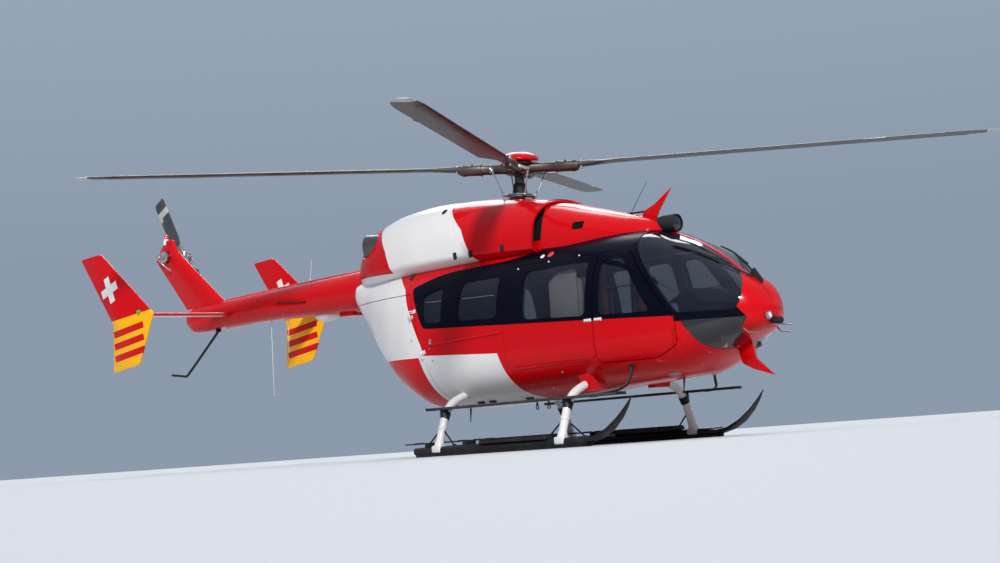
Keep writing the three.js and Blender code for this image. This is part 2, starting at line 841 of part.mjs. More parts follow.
/** One exhaust pipe as a filled bar of radius r, past its own ends by some lengths. */
function exhaustBar(side, r, before, after) {
  const from = V(EXHAUST.from[0], side * EXHAUST.from[1], EXHAUST.from[2]);
  const to = V(EXHAUST.to[0], side * EXHAUST.to[1], EXHAUST.to[2]);
  const along = to.clone().sub(from).normalize();
  return bar(from.addScaledVector(along, -before), to.addScaledVector(along, after), r, r, 20);
}

/** The cowlings on the roof and the masses under them. */
function makeRoof() {
  const deckFit = block(DECK.x0, DECK.x1, -DECK.halfY, DECK.halfY, 1500, DECK_Z + SEAT);
  const mastHole = bar(V(HUB.x, 0, DECK_Z + 300), V(HUB.x, 0, HUB.z), MAST_HOLE_R, MAST_HOLE_R, 24);
  const seated = (solid) => solid.subtract(skinFit).subtract(boomFit).subtract(deckFit);
  const cowling = seated(cowl(0).subtract(cowl(COWL_WALL))).subtract(mastHole);
  const high = OVER;
  const low = 1750;
  const seamAt = (z) => REAR_SEAM.x - REAR_SEAM.slope * (z - REAR_SEAM.z);
  const zone = (front, rear) => {
    const outline = [
      [rear ?? seamAt(low), low],
      [rear ?? seamAt(high), high],
      [front ?? seamAt(high) - SEAT, high],
      [front ?? seamAt(low) - SEAT, low],
    ];
    return prismXZ({ outline: outline.reverse() }, -FAR, FAR);
  };
  add("cowling_engine", cowling.intersect(zone(MOUTH_X, undefined)), "red");
  let rear = cowling.intersect(zone(undefined, AFT));
  for (const [, side] of isSide) rear = rear.subtract(exhaustBar(side, EXHAUST.r + SEAT, 50, 400));
  add("cowling_rear", rear, "white");

  let front = seated(fairing(0).subtract(fairing(COWL_WALL)));
  const vent = {
    outline: [
      [VENT.x0, VENT.z0],
      [VENT.x1, VENT.z0],
      [VENT.x1, VENT.z1],
      [VENT.x0, VENT.z1],
    ],
    corner: VENT.corner,
  };
  for (const [, side] of isSide) front = front.subtract(sidePrism(vent, side));
  add("cowling_front", front, "red");

  for (const [sideName, side] of isSide) {
    const bore = exhaustBar(side, EXHAUST.r - EXHAUST.wall, -20, 50);
    add("exhaust_" + sideName, exhaustBar(side, EXHAUST.r, 0, 0).subtract(bore), "steel");
    const engine = sideBox(side, ENGINE.x0, ENGINE.x1, ENGINE.y0, ENGINE.y1, DECK_Z + SEAT, ENGINE.z);
    add("engine_" + sideName, engine.subtract(exhaustBar(side, EXHAUST.r + SEAT, 12, 50)), "grey");
  }
  const { x0, x1, half, z } = GEARBOX;
  add("main_gearbox", block(x0, x1, -half, half, DECK_Z + SEAT, z), "grey");
}

/** The head: mast, star, four grips with their absorbers, swashplate and pitch links. */
function rotorHead() {
  let head = bar(V(0, 0, MAST.low), V(0, 0, MAST.neck), MAST.r0, MAST.r1, 24);
  head = head.add(bar(V(0, 0, -STAR.half), V(0, 0, STAR.half), STAR.r, STAR.r, 24));
  const plate = bar(V(0, 0, SWASH.z - SWASH.half), V(0, 0, SWASH.z + SWASH.half), SWASH.r, SWASH.r, 24);
  head = head.add(plate);
  for (const angle of Object.values(BLADE_ANGLES)) {
    const at = (reach, degrees, z) => {
      const turn = THREE.MathUtils.degToRad(angle + degrees);
      return V(Math.cos(turn) * reach, Math.sin(turn) * reach, z);
    };
    const horn = at(LINK.hornX, LINK.hornAngle, LINK.hornZ);
    const ear = at(SWASH.earR, LINK.hornAngle, SWASH.z);
    const { x, r, half } = ABSORBER;
    head = head.add(bar(at(STAR.armFrom, 0, 0), at(STAR.armTo, 0, 0), STAR.armR0, STAR.armR1, 12));
    head = head.add(bar(at(STAR.armTo - 5, 0, 0), at(BLADE.rootX, 0, 0), STAR.gripR, STAR.gripR - 4, 12));
    head = head.add(bar(at(x, 0, -half), at(x, 0, half), r, r, 12));
    head = head.add(bar(at(LINK.hornX, 0, 0), horn, LINK.hornR, LINK.hornR, 8));
    head = head.add(bar(at(SWASH.r - 20, LINK.hornAngle, SWASH.z), ear, SWASH.half, SWASH.half, 8));
    head = head.add(bar(ear, horn, LINK.r, LINK.r, 8));
  }
  return head;
}

/** The main rotor on its tilted mast. */
function makeRotor() {
  const rotor = new THREE.Group();
  rotor.position.copy(HUB);
  rotor.rotation.y = MAST_TILT;
  aircraft.add(rotor);
  add("rotor_head", rotorHead(), "grey", rotor);
  const dome = turned(
    DOME.map(([r, z]) => [r, z + SEAT]),
    24,
  );
  add("rotor_cap", solidOf(dome), "red", rotor);
  // [x along the span, chord, thickness]
  const rows = [
    [BLADE.rootX + 5 * SEAT, 120, 90],
    [860, 110, 70],
    [BLADE.neckX, BLADE.chord, BLADE.thick + 6],
    [4950, BLADE.chord, BLADE.thick],
    [5330, BLADE.chord * 0.8, BLADE.thick * 0.7],
    [ROTOR_RADIUS, BLADE.chord * 0.45, BLADE.thick * 0.4],
  ];
  const rings = rows.map(([x, chord, thick]) => wingSection(chord, thick).map(([u, v]) => V(x, u, v)));
  for (const [name, angle] of Object.entries(BLADE_ANGLES)) {
    const blade = add(name, loft(rings), "grey", rotor);
    blade.rotation.order = "ZYX";
    blade.rotation.z = THREE.MathUtils.degToRad(angle);
    blade.rotation.y = -THREE.MathUtils.degToRad(BLADE.cone);
  }
}

/** Boom, shaft cover, fin with gearbox and beacon, stabiliser, end plates and bumper. */
function makeTail() {
  const halfThick = STABILISER.thick;
  const slot = block(
    STABILISER.x - STABILISER.chord * 0.75,
    STABILISER.x + STABILISER.chord * 0.3,
    -600,
    600,
    STABILISER.z - halfThick,
    STABILISER.z + halfThick,
  );
  const wing = (grow) => {
    const span = STABILISER.halfSpan;
    return loft(
      [-span, span].map((y) =>
        finSection(STABILISER.chord + 2 * grow, STABILISER.thick + 2 * grow).map(([u, v]) =>
          V(STABILISER.x + u, y, STABILISER.z - v),
        ),
      ),
    );
  };
  let tube = boomSolid.subtract(boom(BOOM_WALL));
  tube = tube.subtract(block(BOOM.at(0)[0] - 30, BOOM.at(0)[0] + 100, -500, 500, 1500, 2600));
  tube = tube.subtract(wing(1).intersect(slot));
  add("tail_boom", tube, "red");
  add("stabiliser", wing(0), "red");

  const cover = body(SHAFT_COVER, BOOM_ROUND, 0, 16).subtract(boomFit).subtract(skinFit);
  add("shaft_cover", cover.subtract(cowl(-SEAT)), "red");

  const fin = loft(
    FIN.map(([z, lead, trail, thick]) => {
      const chord = lead - trail;
      const middle = trail + 0.73 * chord;
      return finSection(chord, thick).map(([u, v]) => V(middle + u, v, z));
    }),
  );
  const { x, z } = TAIL_ROTOR;
  const gearbox = (r) => bar(V(x, TAIL_GEARBOX.y0, z), V(x, TAIL_GEARBOX.y1, z), r, r, 20);
  const beaconFoot = bar(V(BEACON.x, 0, BEACON.z0), V(BEACON.x, 0, BEACON.z1), BEACON.r, BEACON.r, 12);
  add("tail_fin", fin.subtract(boomFit).subtract(gearbox(TAIL_GEARBOX.r + SEAT)).add(beaconFoot), "red");
  add("tail_gearbox", gearbox(TAIL_GEARBOX.r), "steel");
  const lampFoot = V(BEACON.x, 0, BEACON.z1 + SEAT);
  add("tail_beacon", bar(lampFoot, V(BEACON.x, 0, BEACON.lampZ), BEACON.lampR, BEACON.lampR * 0.6, 12), "glass");

  for (const [sideName, side] of isSide) {
    const inner = STABILISER.halfSpan + SEAT;
    const edges = [side * inner, side * (inner + ENDPLATE.thick)].sort((a, b) => a - b);
    add("endplate_" + sideName, prismXZ(ENDPLATE, edges[0], edges[1]), "yellow");
  }
  const [bendX, bendZ] = BUMPER.bend;
  const foot = bar(V(BUMPER.foot[0], 0, BUMPER.foot[1]), V(bendX, 0, bendZ), BUMPER.r, BUMPER.r, 12);
  const heel = bar(V(bendX + 8, 0, bendZ), V(BUMPER.end[0], 0, BUMPER.end[1]), BUMPER.r, BUMPER.r, 12);
  add("tail_bumper", foot.add(heel).subtract(boomFit), "black");
}

/** The tail rotor: hub, yoke, pitch slider and two blades. */
function makeTailRotor() {
  const tail = new THREE.Group();
  tail.position.set(TAIL_ROTOR.x, TAIL_ROTOR.y, TAIL_ROTOR.z);
  aircraft.add(tail);
  const start = TAIL_GEARBOX.y1 - TAIL_ROTOR.y + SEAT;
  let hub = bar(V(0, start, 0), V(0, 60, 0), TAIL_HUB.r, TAIL_HUB.r, 20);
  hub = hub.add(bar(V(0, 0, -TAIL_HUB.half), V(0, 0, TAIL_HUB.half), TAIL_HUB.yoke, TAIL_HUB.yoke, 16));
  hub = hub.add(bar(V(0, 60, 0), V(0, 84, 0), TAIL_HUB.slider, TAIL_HUB.slider * 0.7, 20));
  // [x along the span, chord, thickness]
  const rows = [
    [60, 90, 50],
    [200, 100, 40],
    [300, TAIL_ROTOR.chord, TAIL_ROTOR.thick + 4],
    [TAIL_ROTOR.radius, TAIL_ROTOR.chord, TAIL_ROTOR.thick],
  ];
  const rings = rows.map(([x, chord, thick]) => wingSection(chord, thick).map(([u, v]) => V(x, v, -u)));
  for (const turn of [0, 180]) {
    const blade = geometryOf(loft(rings));
    blade.rotateY(-THREE.MathUtils.degToRad(TAIL_ROTOR.turn + turn));
    hub = hub.add(solidOf(blade));
  }
  add("tail_rotor", hub, "white", tail);
}

/** A snow plate beside a skid, with the brackets that carry its tail. */
function snowPlate(side) {
  let plate = plateXY(PAD.outline, side, PAD.z0, PAD.z1);
  const [[x0]] = PAD.outline;
  const x1 = PAD.outline[1][0];
  for (let i = 0; i < PAD.ribs; i++) {
    const x = x0 + ((x1 - x0) * (i + 0.5)) / PAD.ribs;
    plate = plate.subtract(sideBox(side, x - PAD.ribHalf, x + PAD.ribHalf, 0, FAR, PAD.z1 - PAD.ribDeep, OVER));
  }
  plate = plate.add(plateXY(PAD.tail, side, PAD.tailZ0, PAD.z1));
  for (const x of PAD.brackets) {
    plate = plate.add(sideBox(side, x - 25, x + 25, 1000, SKID.y + 20, 90, PAD.tailZ0 + 5));
  }
  return plate;
}

/** Skids with ski tips and snow plates, cross tubes and long steps. */
function makeLandingGear() {
  for (const [sideName, side] of isSide) {
    const y = side * SKID.y;
    let skid = bar(V(SKID.x0, y, SKID.z), V(SKID.x1, y, SKID.z), SKID.r);
    const tip = SKI.map(([x, z, half, thick]) => [
      V(x, y + half, z - thick),
      V(x, y + half, z + thick),
      V(x, y - half, z + thick),
      V(x, y - half, z - thick),
    ]);
    skid = skid.add(loft(tip)).add(snowPlate(side));
    const sole = sideBox(side, SKID.x0 + 20, SKID.x1, SKID.y - SKID.soleHalf, SKID.y + SKID.soleHalf, 0, SKID.soleTop);
    skid = skid.add(sole);
    for (const [name, x] of Object.entries(CROSSTUBES)) {
      const top = V(x, side * STAY.y0, STAY.z0);
      for (const step of STAY.steps[name.slice(-5) === "front" ? "front" : "rear"]) {
        skid = skid.add(bar(top, V(x + step, side * STAY.y1, STAY.z1), STAY.r, STAY.r, 8));
      }
    }
    add("skid_" + sideName, clearOfArches(skid), "black");
  }
  for (const [name, x] of Object.entries(CROSSTUBES)) {
    let tube = arches[name];
    for (const [, side] of isSide) {
      const ends = [V(x - 200, side * SKID.y, SKID.z), V(x + 200, side * SKID.y, SKID.z)];
      tube = tube.subtract(bar(ends[0], ends[1], SKID.r + SEAT));
    }
    add(name, tube, "white");
  }
  for (const [sideName, side] of isSide) {
    const { y, half, x0, x1, z, thick, clampHalf } = STEP;
    let step = sideBox(side, x0, x1, y - half, y + half, z, z + thick);
    for (const x of Object.values(CROSSTUBES)) {
      step = step.add(sideBox(side, x - clampHalf, x + clampHalf, y - 40, y + 30, z - 50, z + 5));
    }
    const bends = STEP_BRACKET.route.map(([along, across, up]) => V(along, side * across, up));
    for (const i of [0, 1]) step = step.add(bar(bends[i], bends[i + 1], STEP_BRACKET.r, STEP_BRACKET.r, 8));
    add("step_" + sideName, clearOfArches(step).subtract(skinFit), "grey");
  }
}

/** One seat: cushion and back, its foot and its headrest. */
function seat({ y, half, outline, base, headrest }, side) {
  const raised = outline.map(([x, height]) => [x, FLOOR.z + height]);
  const top = Math.max(...raised.map((point) => point[1]));
  const cushion = Math.min(...raised.map((point) => point[1])) + 40;
  const middle = side * y;
  const across = (reach) => [middle - reach, middle + reach];
  const headZ = [top - HEADREST.overlap, top + HEADREST.rise];
  return prismXZ({ outline: raised }, ...across(half))
    .add(block(base.x0, base.x1, ...across(base.half), FLOOR.z + SEAT, cushion))
    .add(block(headrest.x0, headrest.x1, ...across(headrest.half), ...headZ));
}

/** The cabin floor and what stands on it. */
function makeCabin() {
  const floor = block(FLOOR.x0, FLOOR.x1, -FLOOR.half, FLOOR.half, FLOOR.z - FLOOR.thick, FLOOR.z);
  add("cabin_floor", clearOfArches(floor.intersect(roomFit)), "grey");
  const { half, console: box } = PANEL;
  const panel = prismXZ(PANEL, -half, half).add(block(box.x0, box.x1, -box.half, box.half, FLOOR.z + SEAT, box.z));
  add("instrument_panel", panel.intersect(lining(POD_WALL + 8)), "black");
  for (const [sideName, side] of isSide) add("pilot_seat_" + sideName, seat(CREW_SEAT, side), "fabric");
  add("care_seat", seat(CARE_SEAT, SIDES.starboard), "fabric");
  const { x0, x1, y0, y1, top } = STRETCHER;
  add("stretcher", block(x0, x1, y0, y1, FLOOR.z + SEAT, top), "fabric");
}

/** Cable cutters over and under the nose, and the lamp at the front of the roof. */
function makeNoseItems() {
  const lamp = turned(
    [
      [0, LAMP.x0],
      [LAMP.tail, LAMP.x0 + 15],
      [LAMP.r, LAMP.x0 + 120],
      [LAMP.r, LAMP.x1 - 20],
      [LAMP.r - 14, LAMP.x1],
      [0, LAMP.x1],
    ],
    20,
  );
  lamp.rotateY(Math.PI / 2);
  lamp.translate(0, 0, LAMP.z);
  const lampSolid = solidOf(lamp);
  const above = (solid) => solid.subtract(fairing(-SEAT)).subtract(skinFit);
  add("roof_lamp", above(lampSolid), "black");
  const cutter = prismXZ({ outline: TOP_CUTTER }, -CUTTER_HALF, CUTTER_HALF);
  add("wire_cutter_top", above(cutter), "red");
  add("wire_cutter_low", prismXZ({ outline: LOW_CUTTER }, -CUTTER_HALF, CUTTER_HALF).subtract(skinFit), "red");
}

makePod();
makeGlass();
makeRoof();
makeRotor();
makeTail();
makeTailRotor();
makeLandingGear();
makeCabin();
makeNoseItems();

// The origin is the middle of the outline, on the floor.
aircraft.updateMatrixWorld(true);
const bounds = new THREE.Box3().setFromObject(aircraft, true);
const middle = bounds.getCenter(new THREE.Vector3());
aircraft.position.set(-middle.x, -middle.y, -bounds.min.z);

export default aircraft;
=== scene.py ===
"""A light twin-engine rescue helicopter on skids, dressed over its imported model.

Places are in metres. Stations along X count from the rotor mast in the tables here, and every
mesh is moved by STATION_0 once, when its piece is made. +X is forward, +Y to port, +Z up.
"""

import logging
import math
from dataclasses import dataclass
from enum import Enum
from typing import Callable, Iterable, Sequence

import bmesh
import bpy
import numpy as np
from mathutils import Matrix, Vector


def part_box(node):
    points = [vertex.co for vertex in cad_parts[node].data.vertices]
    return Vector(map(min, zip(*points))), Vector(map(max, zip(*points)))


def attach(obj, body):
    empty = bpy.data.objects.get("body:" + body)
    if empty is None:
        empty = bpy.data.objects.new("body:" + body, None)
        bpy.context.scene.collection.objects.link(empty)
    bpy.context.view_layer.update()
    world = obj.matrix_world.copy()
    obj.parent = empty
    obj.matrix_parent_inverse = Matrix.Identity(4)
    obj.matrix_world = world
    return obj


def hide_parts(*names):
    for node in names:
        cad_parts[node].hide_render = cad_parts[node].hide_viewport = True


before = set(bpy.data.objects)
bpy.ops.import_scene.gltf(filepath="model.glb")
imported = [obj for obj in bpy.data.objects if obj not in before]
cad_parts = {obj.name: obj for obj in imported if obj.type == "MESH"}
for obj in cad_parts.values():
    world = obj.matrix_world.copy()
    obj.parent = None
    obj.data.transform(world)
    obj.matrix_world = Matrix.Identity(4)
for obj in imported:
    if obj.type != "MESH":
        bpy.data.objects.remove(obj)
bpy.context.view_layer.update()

LOG = logging.getLogger("helicopter")

Point = Sequence[float]
Outline = Sequence[Sequence[float]]
Socket = bpy.types.NodeSocket

# The sides' names and their signs along Y
SIDES = {"starboard": -1, "port": 1}
# Past everything that a cutting solid has to reach
FAR = 3.0
# Overlap that keeps a fairing from sharing a face with what it sits on
SEAT = -0.0003
TUBE_LOW, TUBE_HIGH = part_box("crosstube_front")
FRONT_TUBE_X, REAR_TUBE_X = 1.480, -0.385
STATION_0 = (TUBE_LOW[0] + TUBE_HIGH[0]) / 2 - FRONT_TUBE_X
FLOOR_TOP = 0.8603


def metres(rows: Outline) -> tuple[tuple[float, ...], ...]:
    """Rows of millimetres as rows of metres."""
    return tuple(tuple(value / 1000 for value in row) for row in rows)


def shift(x: float, y: float, z: float) -> Matrix:
    """A move."""
    return Matrix.Translation((x, y, z))


def turned(degrees: float, axis: str) -> Matrix:
    """A turn about an axis."""
    return Matrix.Rotation(math.radians(degrees), 4, axis)


def spins(count: int, first: float = 0.0) -> list[Matrix]:
    """Turns about Z that share out a full circle."""
    return [Matrix.Rotation(math.tau * (k + first) / count, 4, "Z") for k in range(count)]


def upright(normal: Vector) -> Matrix:
    """Axes whose Z lies along a direction."""
    return normal.to_track_quat("Z", "Y").to_matrix().to_4x4()


def read(items: Sequence, name: str, width: int = 1, kind: type = float) -> np.ndarray:
    """Reads one property of many mesh elements.

    Args:
        items: The elements.
        name: The property.
        width: How many numbers each has.
        kind: The numbers' type.

    Returns:
        An array with one number or row for each element.
    """
    out = np.empty(len(items) * width, kind)
    items.foreach_get(name, out)
    return out.reshape(-1, width) if width > 1 else out


def bevel(bm: bmesh.types.BMesh, geom: list, by: float, steps: int, affect: str = "EDGES") -> None:
    """Rounds edges or corners.

    Args:
        bm: What they belong to.
        geom: The edges or vertices.
        by: How far they are rounded.
        steps: Segments of the rounding.
        affect: EDGES or VERTICES.
    """
    bmesh.ops.bevel(bm, geom=geom, offset=by, offset_type="OFFSET", segments=steps, profile=0.5,
                    affect=affect, clamp_overlap=True, material=-1)


class Form:
    """A mesh in the making, shaped by bmesh operators; its adding methods give the form back."""

    def __init__(self) -> None:
        """Starts with nothing."""
        self.bm = bmesh.new()

    def box(self, a: Point, b: Point, round_by: float = 0.0, steps: int = 2) -> "Form":
        """Adds a box.

        Args:
            a: One corner.
            b: The opposite one.
            round_by: How far its edges are rounded.
            steps: Segments of the rounding.

        Returns:
            This form.
        """
        size = [abs(v - u) for u, v in zip(a, b)]
        place = shift(*((u + v) / 2 for u, v in zip(a, b))) @ Matrix.Diagonal((*size, 1.0))
        made = bmesh.ops.create_cube(self.bm, size=1.0, matrix=place)["verts"]
        if round_by:
            self._round(made, round_by, steps, 0.5)
        return self

    def _round(self, verts: list, by: float, steps: int, sharp: float) -> None:
        """Rounds the edges among some vertices whose faces meet at more than an angle."""
        edges = {edge for vert in verts for edge in vert.link_edges}
        found = [e for e in edges if len(e.link_faces) == 2 and e.calc_face_angle(0.0) > sharp]
        bevel(self.bm, found, by, steps)

    def bar(self, start: Point, end: Point, r0: float, r1: float | None = None, sides: int = 24,
            round_by: float = 0.0) -> "Form":
        """Adds a round bar, or a cone, between two points.

        Args:
            start: The middle of its first end.
            end: The middle of its other end.
            r0: Radius at the start.
            r1: Radius at the end; the same where left out.
            sides: How many sides the circle has.
            round_by: How far its rims are rounded.

        Returns:
            This form.
        """
        a, b = Vector(start), Vector(end)
        along = b - a
        made = bmesh.ops.create_cone(
            self.bm, cap_ends=True, segments=sides, radius1=r0, radius2=r0 if r1 is None else r1,
            depth=along.length, matrix=Matrix.Translation((a + b) / 2) @ upright(along))["verts"]
        if round_by:
            self._round(made, round_by, 2, 0.7)
        return self

    def lathe(self, profile: Outline, place: Matrix, sides: int = 48, closed: bool = False) -> "Form":
        """Spins a profile about the local Z axis.

        Args:
            profile: Points as (radius, height); closed ones make a ring.
            place: Where the axis stands.
            sides: Steps of the full turn.
            closed: Whether the last point joins the first.

        Returns:
            This form.
        """
        made = [self.bm.verts.new(place @ Vector((r, 0.0, h))) for r, h in profile]
        pairs = list(zip(made, made[1:])) + ([(made[-1], made[0])] if closed else [])
        edges = [self.bm.edges.new(pair) for pair in pairs]
        axis = (place.to_3x3() @ Vector((0.0, 0.0, 1.0))).normalized()
        bmesh.ops.spin(
            self.bm, geom=[*made, *edges], cent=place.translation, axis=axis,
            angle=math.tau, steps=sides, use_merge=True, use_duplicate=False)
        loose = [v for v in self.bm.verts if not v.link_faces]
        bmesh.ops.delete(self.bm, geom=loose, context="VERTS")
        bmesh.ops.remove_doubles(self.bm, verts=self.bm.verts[:], dist=1e-6)
        return self

    def loft(self, rings: Sequence[np.ndarray]) -> "Form":
        """Adds a body through rings of points, closed by flat ends.

        Args:
            rings: Arrays of shape (points, 3), all with the same count.

        Returns:
            This form.
        """
        table = np.array(rings)
        wrapped = np.concatenate([table, table[:, :1]], axis=1)
        part = bmesh.new()
        bmesh.ops.create_grid(part, x_segments=table.shape[1], y_segments=len(table) - 1, size=1.0)
        part.verts.ensure_lookup_table()
        order = sorted(part.verts, key=lambda v: (round(v.co.y, 5), round(v.co.x, 5)))
        for vert, point in zip(order, wrapped.reshape(-1, 3)):
            vert.co = point
        bmesh.ops.remove_doubles(part, verts=part.verts[:], dist=1e-6)
        rims = [edge for edge in part.edges if len(edge.link_faces) == 1]
        bmesh.ops.holes_fill(part, edges=rims, sides=0)
        return self._closed(part)

    def _closed(self, part: bmesh.types.BMesh) -> "Form":
        """Turns a closed bmesh the right way out and moves it into this form."""
        bmesh.ops.recalc_face_normals(part, faces=part.faces[:])
        return self._take(part)

    def _take(self, part: bmesh.types.BMesh) -> "Form":
        """Moves another bmesh into this form.

        Args:
            part: What is added; it is freed.

        Returns:
            The form.
        """
        mesh = bpy.data.meshes.new("part")
        part.to_mesh(mesh)
        part.free()
        self.bm.from_mesh(mesh)
        bpy.data.meshes.remove(mesh)
        return self

    def add(self, other: "Form", *places: Matrix) -> "Form":
        """Adds a copy of another form at each of some places.

        Args:
            other: The form that is copied.
            places: Where each copy goes.

        Returns:
            The form.
        """
        for place in places:
            part = other.bm.copy()
            bmesh.ops.transform(part, matrix=place, verts=part.verts[:])
            self._take(part)
        return self

    def sweep(self, path: Iterable[Point], radius: float | Sequence[float], sides: int = 16,
              flat: float = 1.0) -> "Form":
        """Adds a round or oval bar along points.

        Args:
            path: The points that it follows.
            radius: One radius, or one for each point.
            sides: How many sides the circle has.
            flat: Height of the section against its width.

        Returns:
            This form.
        """
        points = [Vector(p) for p in path]
        radii = [radius] * len(points) if isinstance(radius, float) else radius
        last = len(points) - 1
        tangents = [(points[min(i + 1, last)] - points[max(i - 1, 0)]).normalized()
                    for i in range(last + 1)]
        up = Vector((0.0, 0.0, 1.0)) if abs(tangents[0].z) < 0.9 else Vector((1.0, 0.0, 0.0))
        across = tangents[0].cross(up).normalized()
        rings = []
        for point, tangent, reach in zip(points, tangents, radii):
            across = (across - tangent * across.dot(tangent)).normalized()
            rise = across.cross(tangent)
            rings.append([
                tuple(point + across * (math.cos(a) * reach) + rise * (math.sin(a) * reach * flat))
                for a in (math.tau * k / sides for k in range(sides))])
        return self.loft(rings)

    def prism(self, outline: Outline, a: float, b: float, corner: float = 0.0, plane: str = "XZ",
              round_by: float = 0.0, steps: int = 6) -> "Form":
        """Adds a flat outline drawn out between two levels.

        Args:
            outline: Its corners in the plane.
            a: One level across the plane.
            b: The other level.
            corner: Radius of its corners.
            plane: XZ or XY.
            round_by: How far the edges of its flat faces are rounded.
            steps: Segments of each corner.

        Returns:
            This form.
        """
        low, high = sorted((a, b))
        part = bmesh.new()
        place = (lambda u, v, w: (u, w, v)) if plane == "XZ" else (lambda u, v, w: (u, v, w))
        face = part.faces.new([part.verts.new(place(u, v, low)) for u, v in outline])
        if corner:
            bevel(part, part.verts[:], corner, steps, "VERTICES")
            face = part.faces[:][0]
        made = bmesh.ops.extrude_face_region(part, geom=[face])["geom"]
        moved = [item for item in made if isinstance(item, bmesh.types.BMVert)]
        bmesh.ops.translate(part, vec=place(0, 0, high - low), verts=moved)
        bmesh.ops.recalc_face_normals(part, faces=part.faces[:])
        if round_by:
            bevel(part, [e for e in part.edges if e.calc_face_angle(0.0) > 1.0], round_by, 2)
        return self._take(part)

    def moved(self, place: Matrix) -> "Form":
        """Moves all that is there."""
        bmesh.ops.transform(self.bm, matrix=place, verts=self.bm.verts[:])
        return self

    def mesh(self, name: str = "form") -> bpy.types.Mesh:
        """Ends the making and gives the mesh."""
        mesh = bpy.data.meshes.new(name)
        self.bm.to_mesh(mesh)
        self.bm.free()
        return mesh


class Cut(Enum):
    """What is done to a solid with another one."""

    AWAY = "DIFFERENCE"
    WITHIN = "INTERSECT"
    JOIN = "UNION"


class Solid:
    """A closed mesh that others cut."""

    def __init__(self, source: "Form | bpy.types.Mesh") -> None:
        """Takes a form or a mesh."""
        self.mesh = source.mesh() if isinstance(source, Form) else source

    def cut(self, other: "Solid | Form", how: Cut = Cut.AWAY) -> "Solid":
        """Gives what is left after a cut.

        Args:
            other: The cutting solid, or a form that is used up.
            how: What is kept.

        Returns:
            A new solid.
        """
        tool = other if isinstance(other, Solid) else Solid(other)
        items = [bpy.data.objects.new("cutting", solid.mesh) for solid in (self, tool)]
        for item in items:
            bpy.context.scene.collection.objects.link(item)
        change = items[0].modifiers.new("cut", "BOOLEAN")
        change.operation = how.value
        change.solver = "MANIFOLD"
        change.object = items[1]
        made = bpy.data.meshes.new_from_object(
            items[0].evaluated_get(bpy.context.evaluated_depsgraph_get()))
        for item in items:
            bpy.data.objects.remove(item)
        if not made.polygons:
            LOG.warning("a cut left nothing")
        return Solid(made)

    def within(self, other: "Solid | Form") -> "Solid":
        """Gives the part that lies inside another solid."""
        return self.cut(other, Cut.WITHIN)


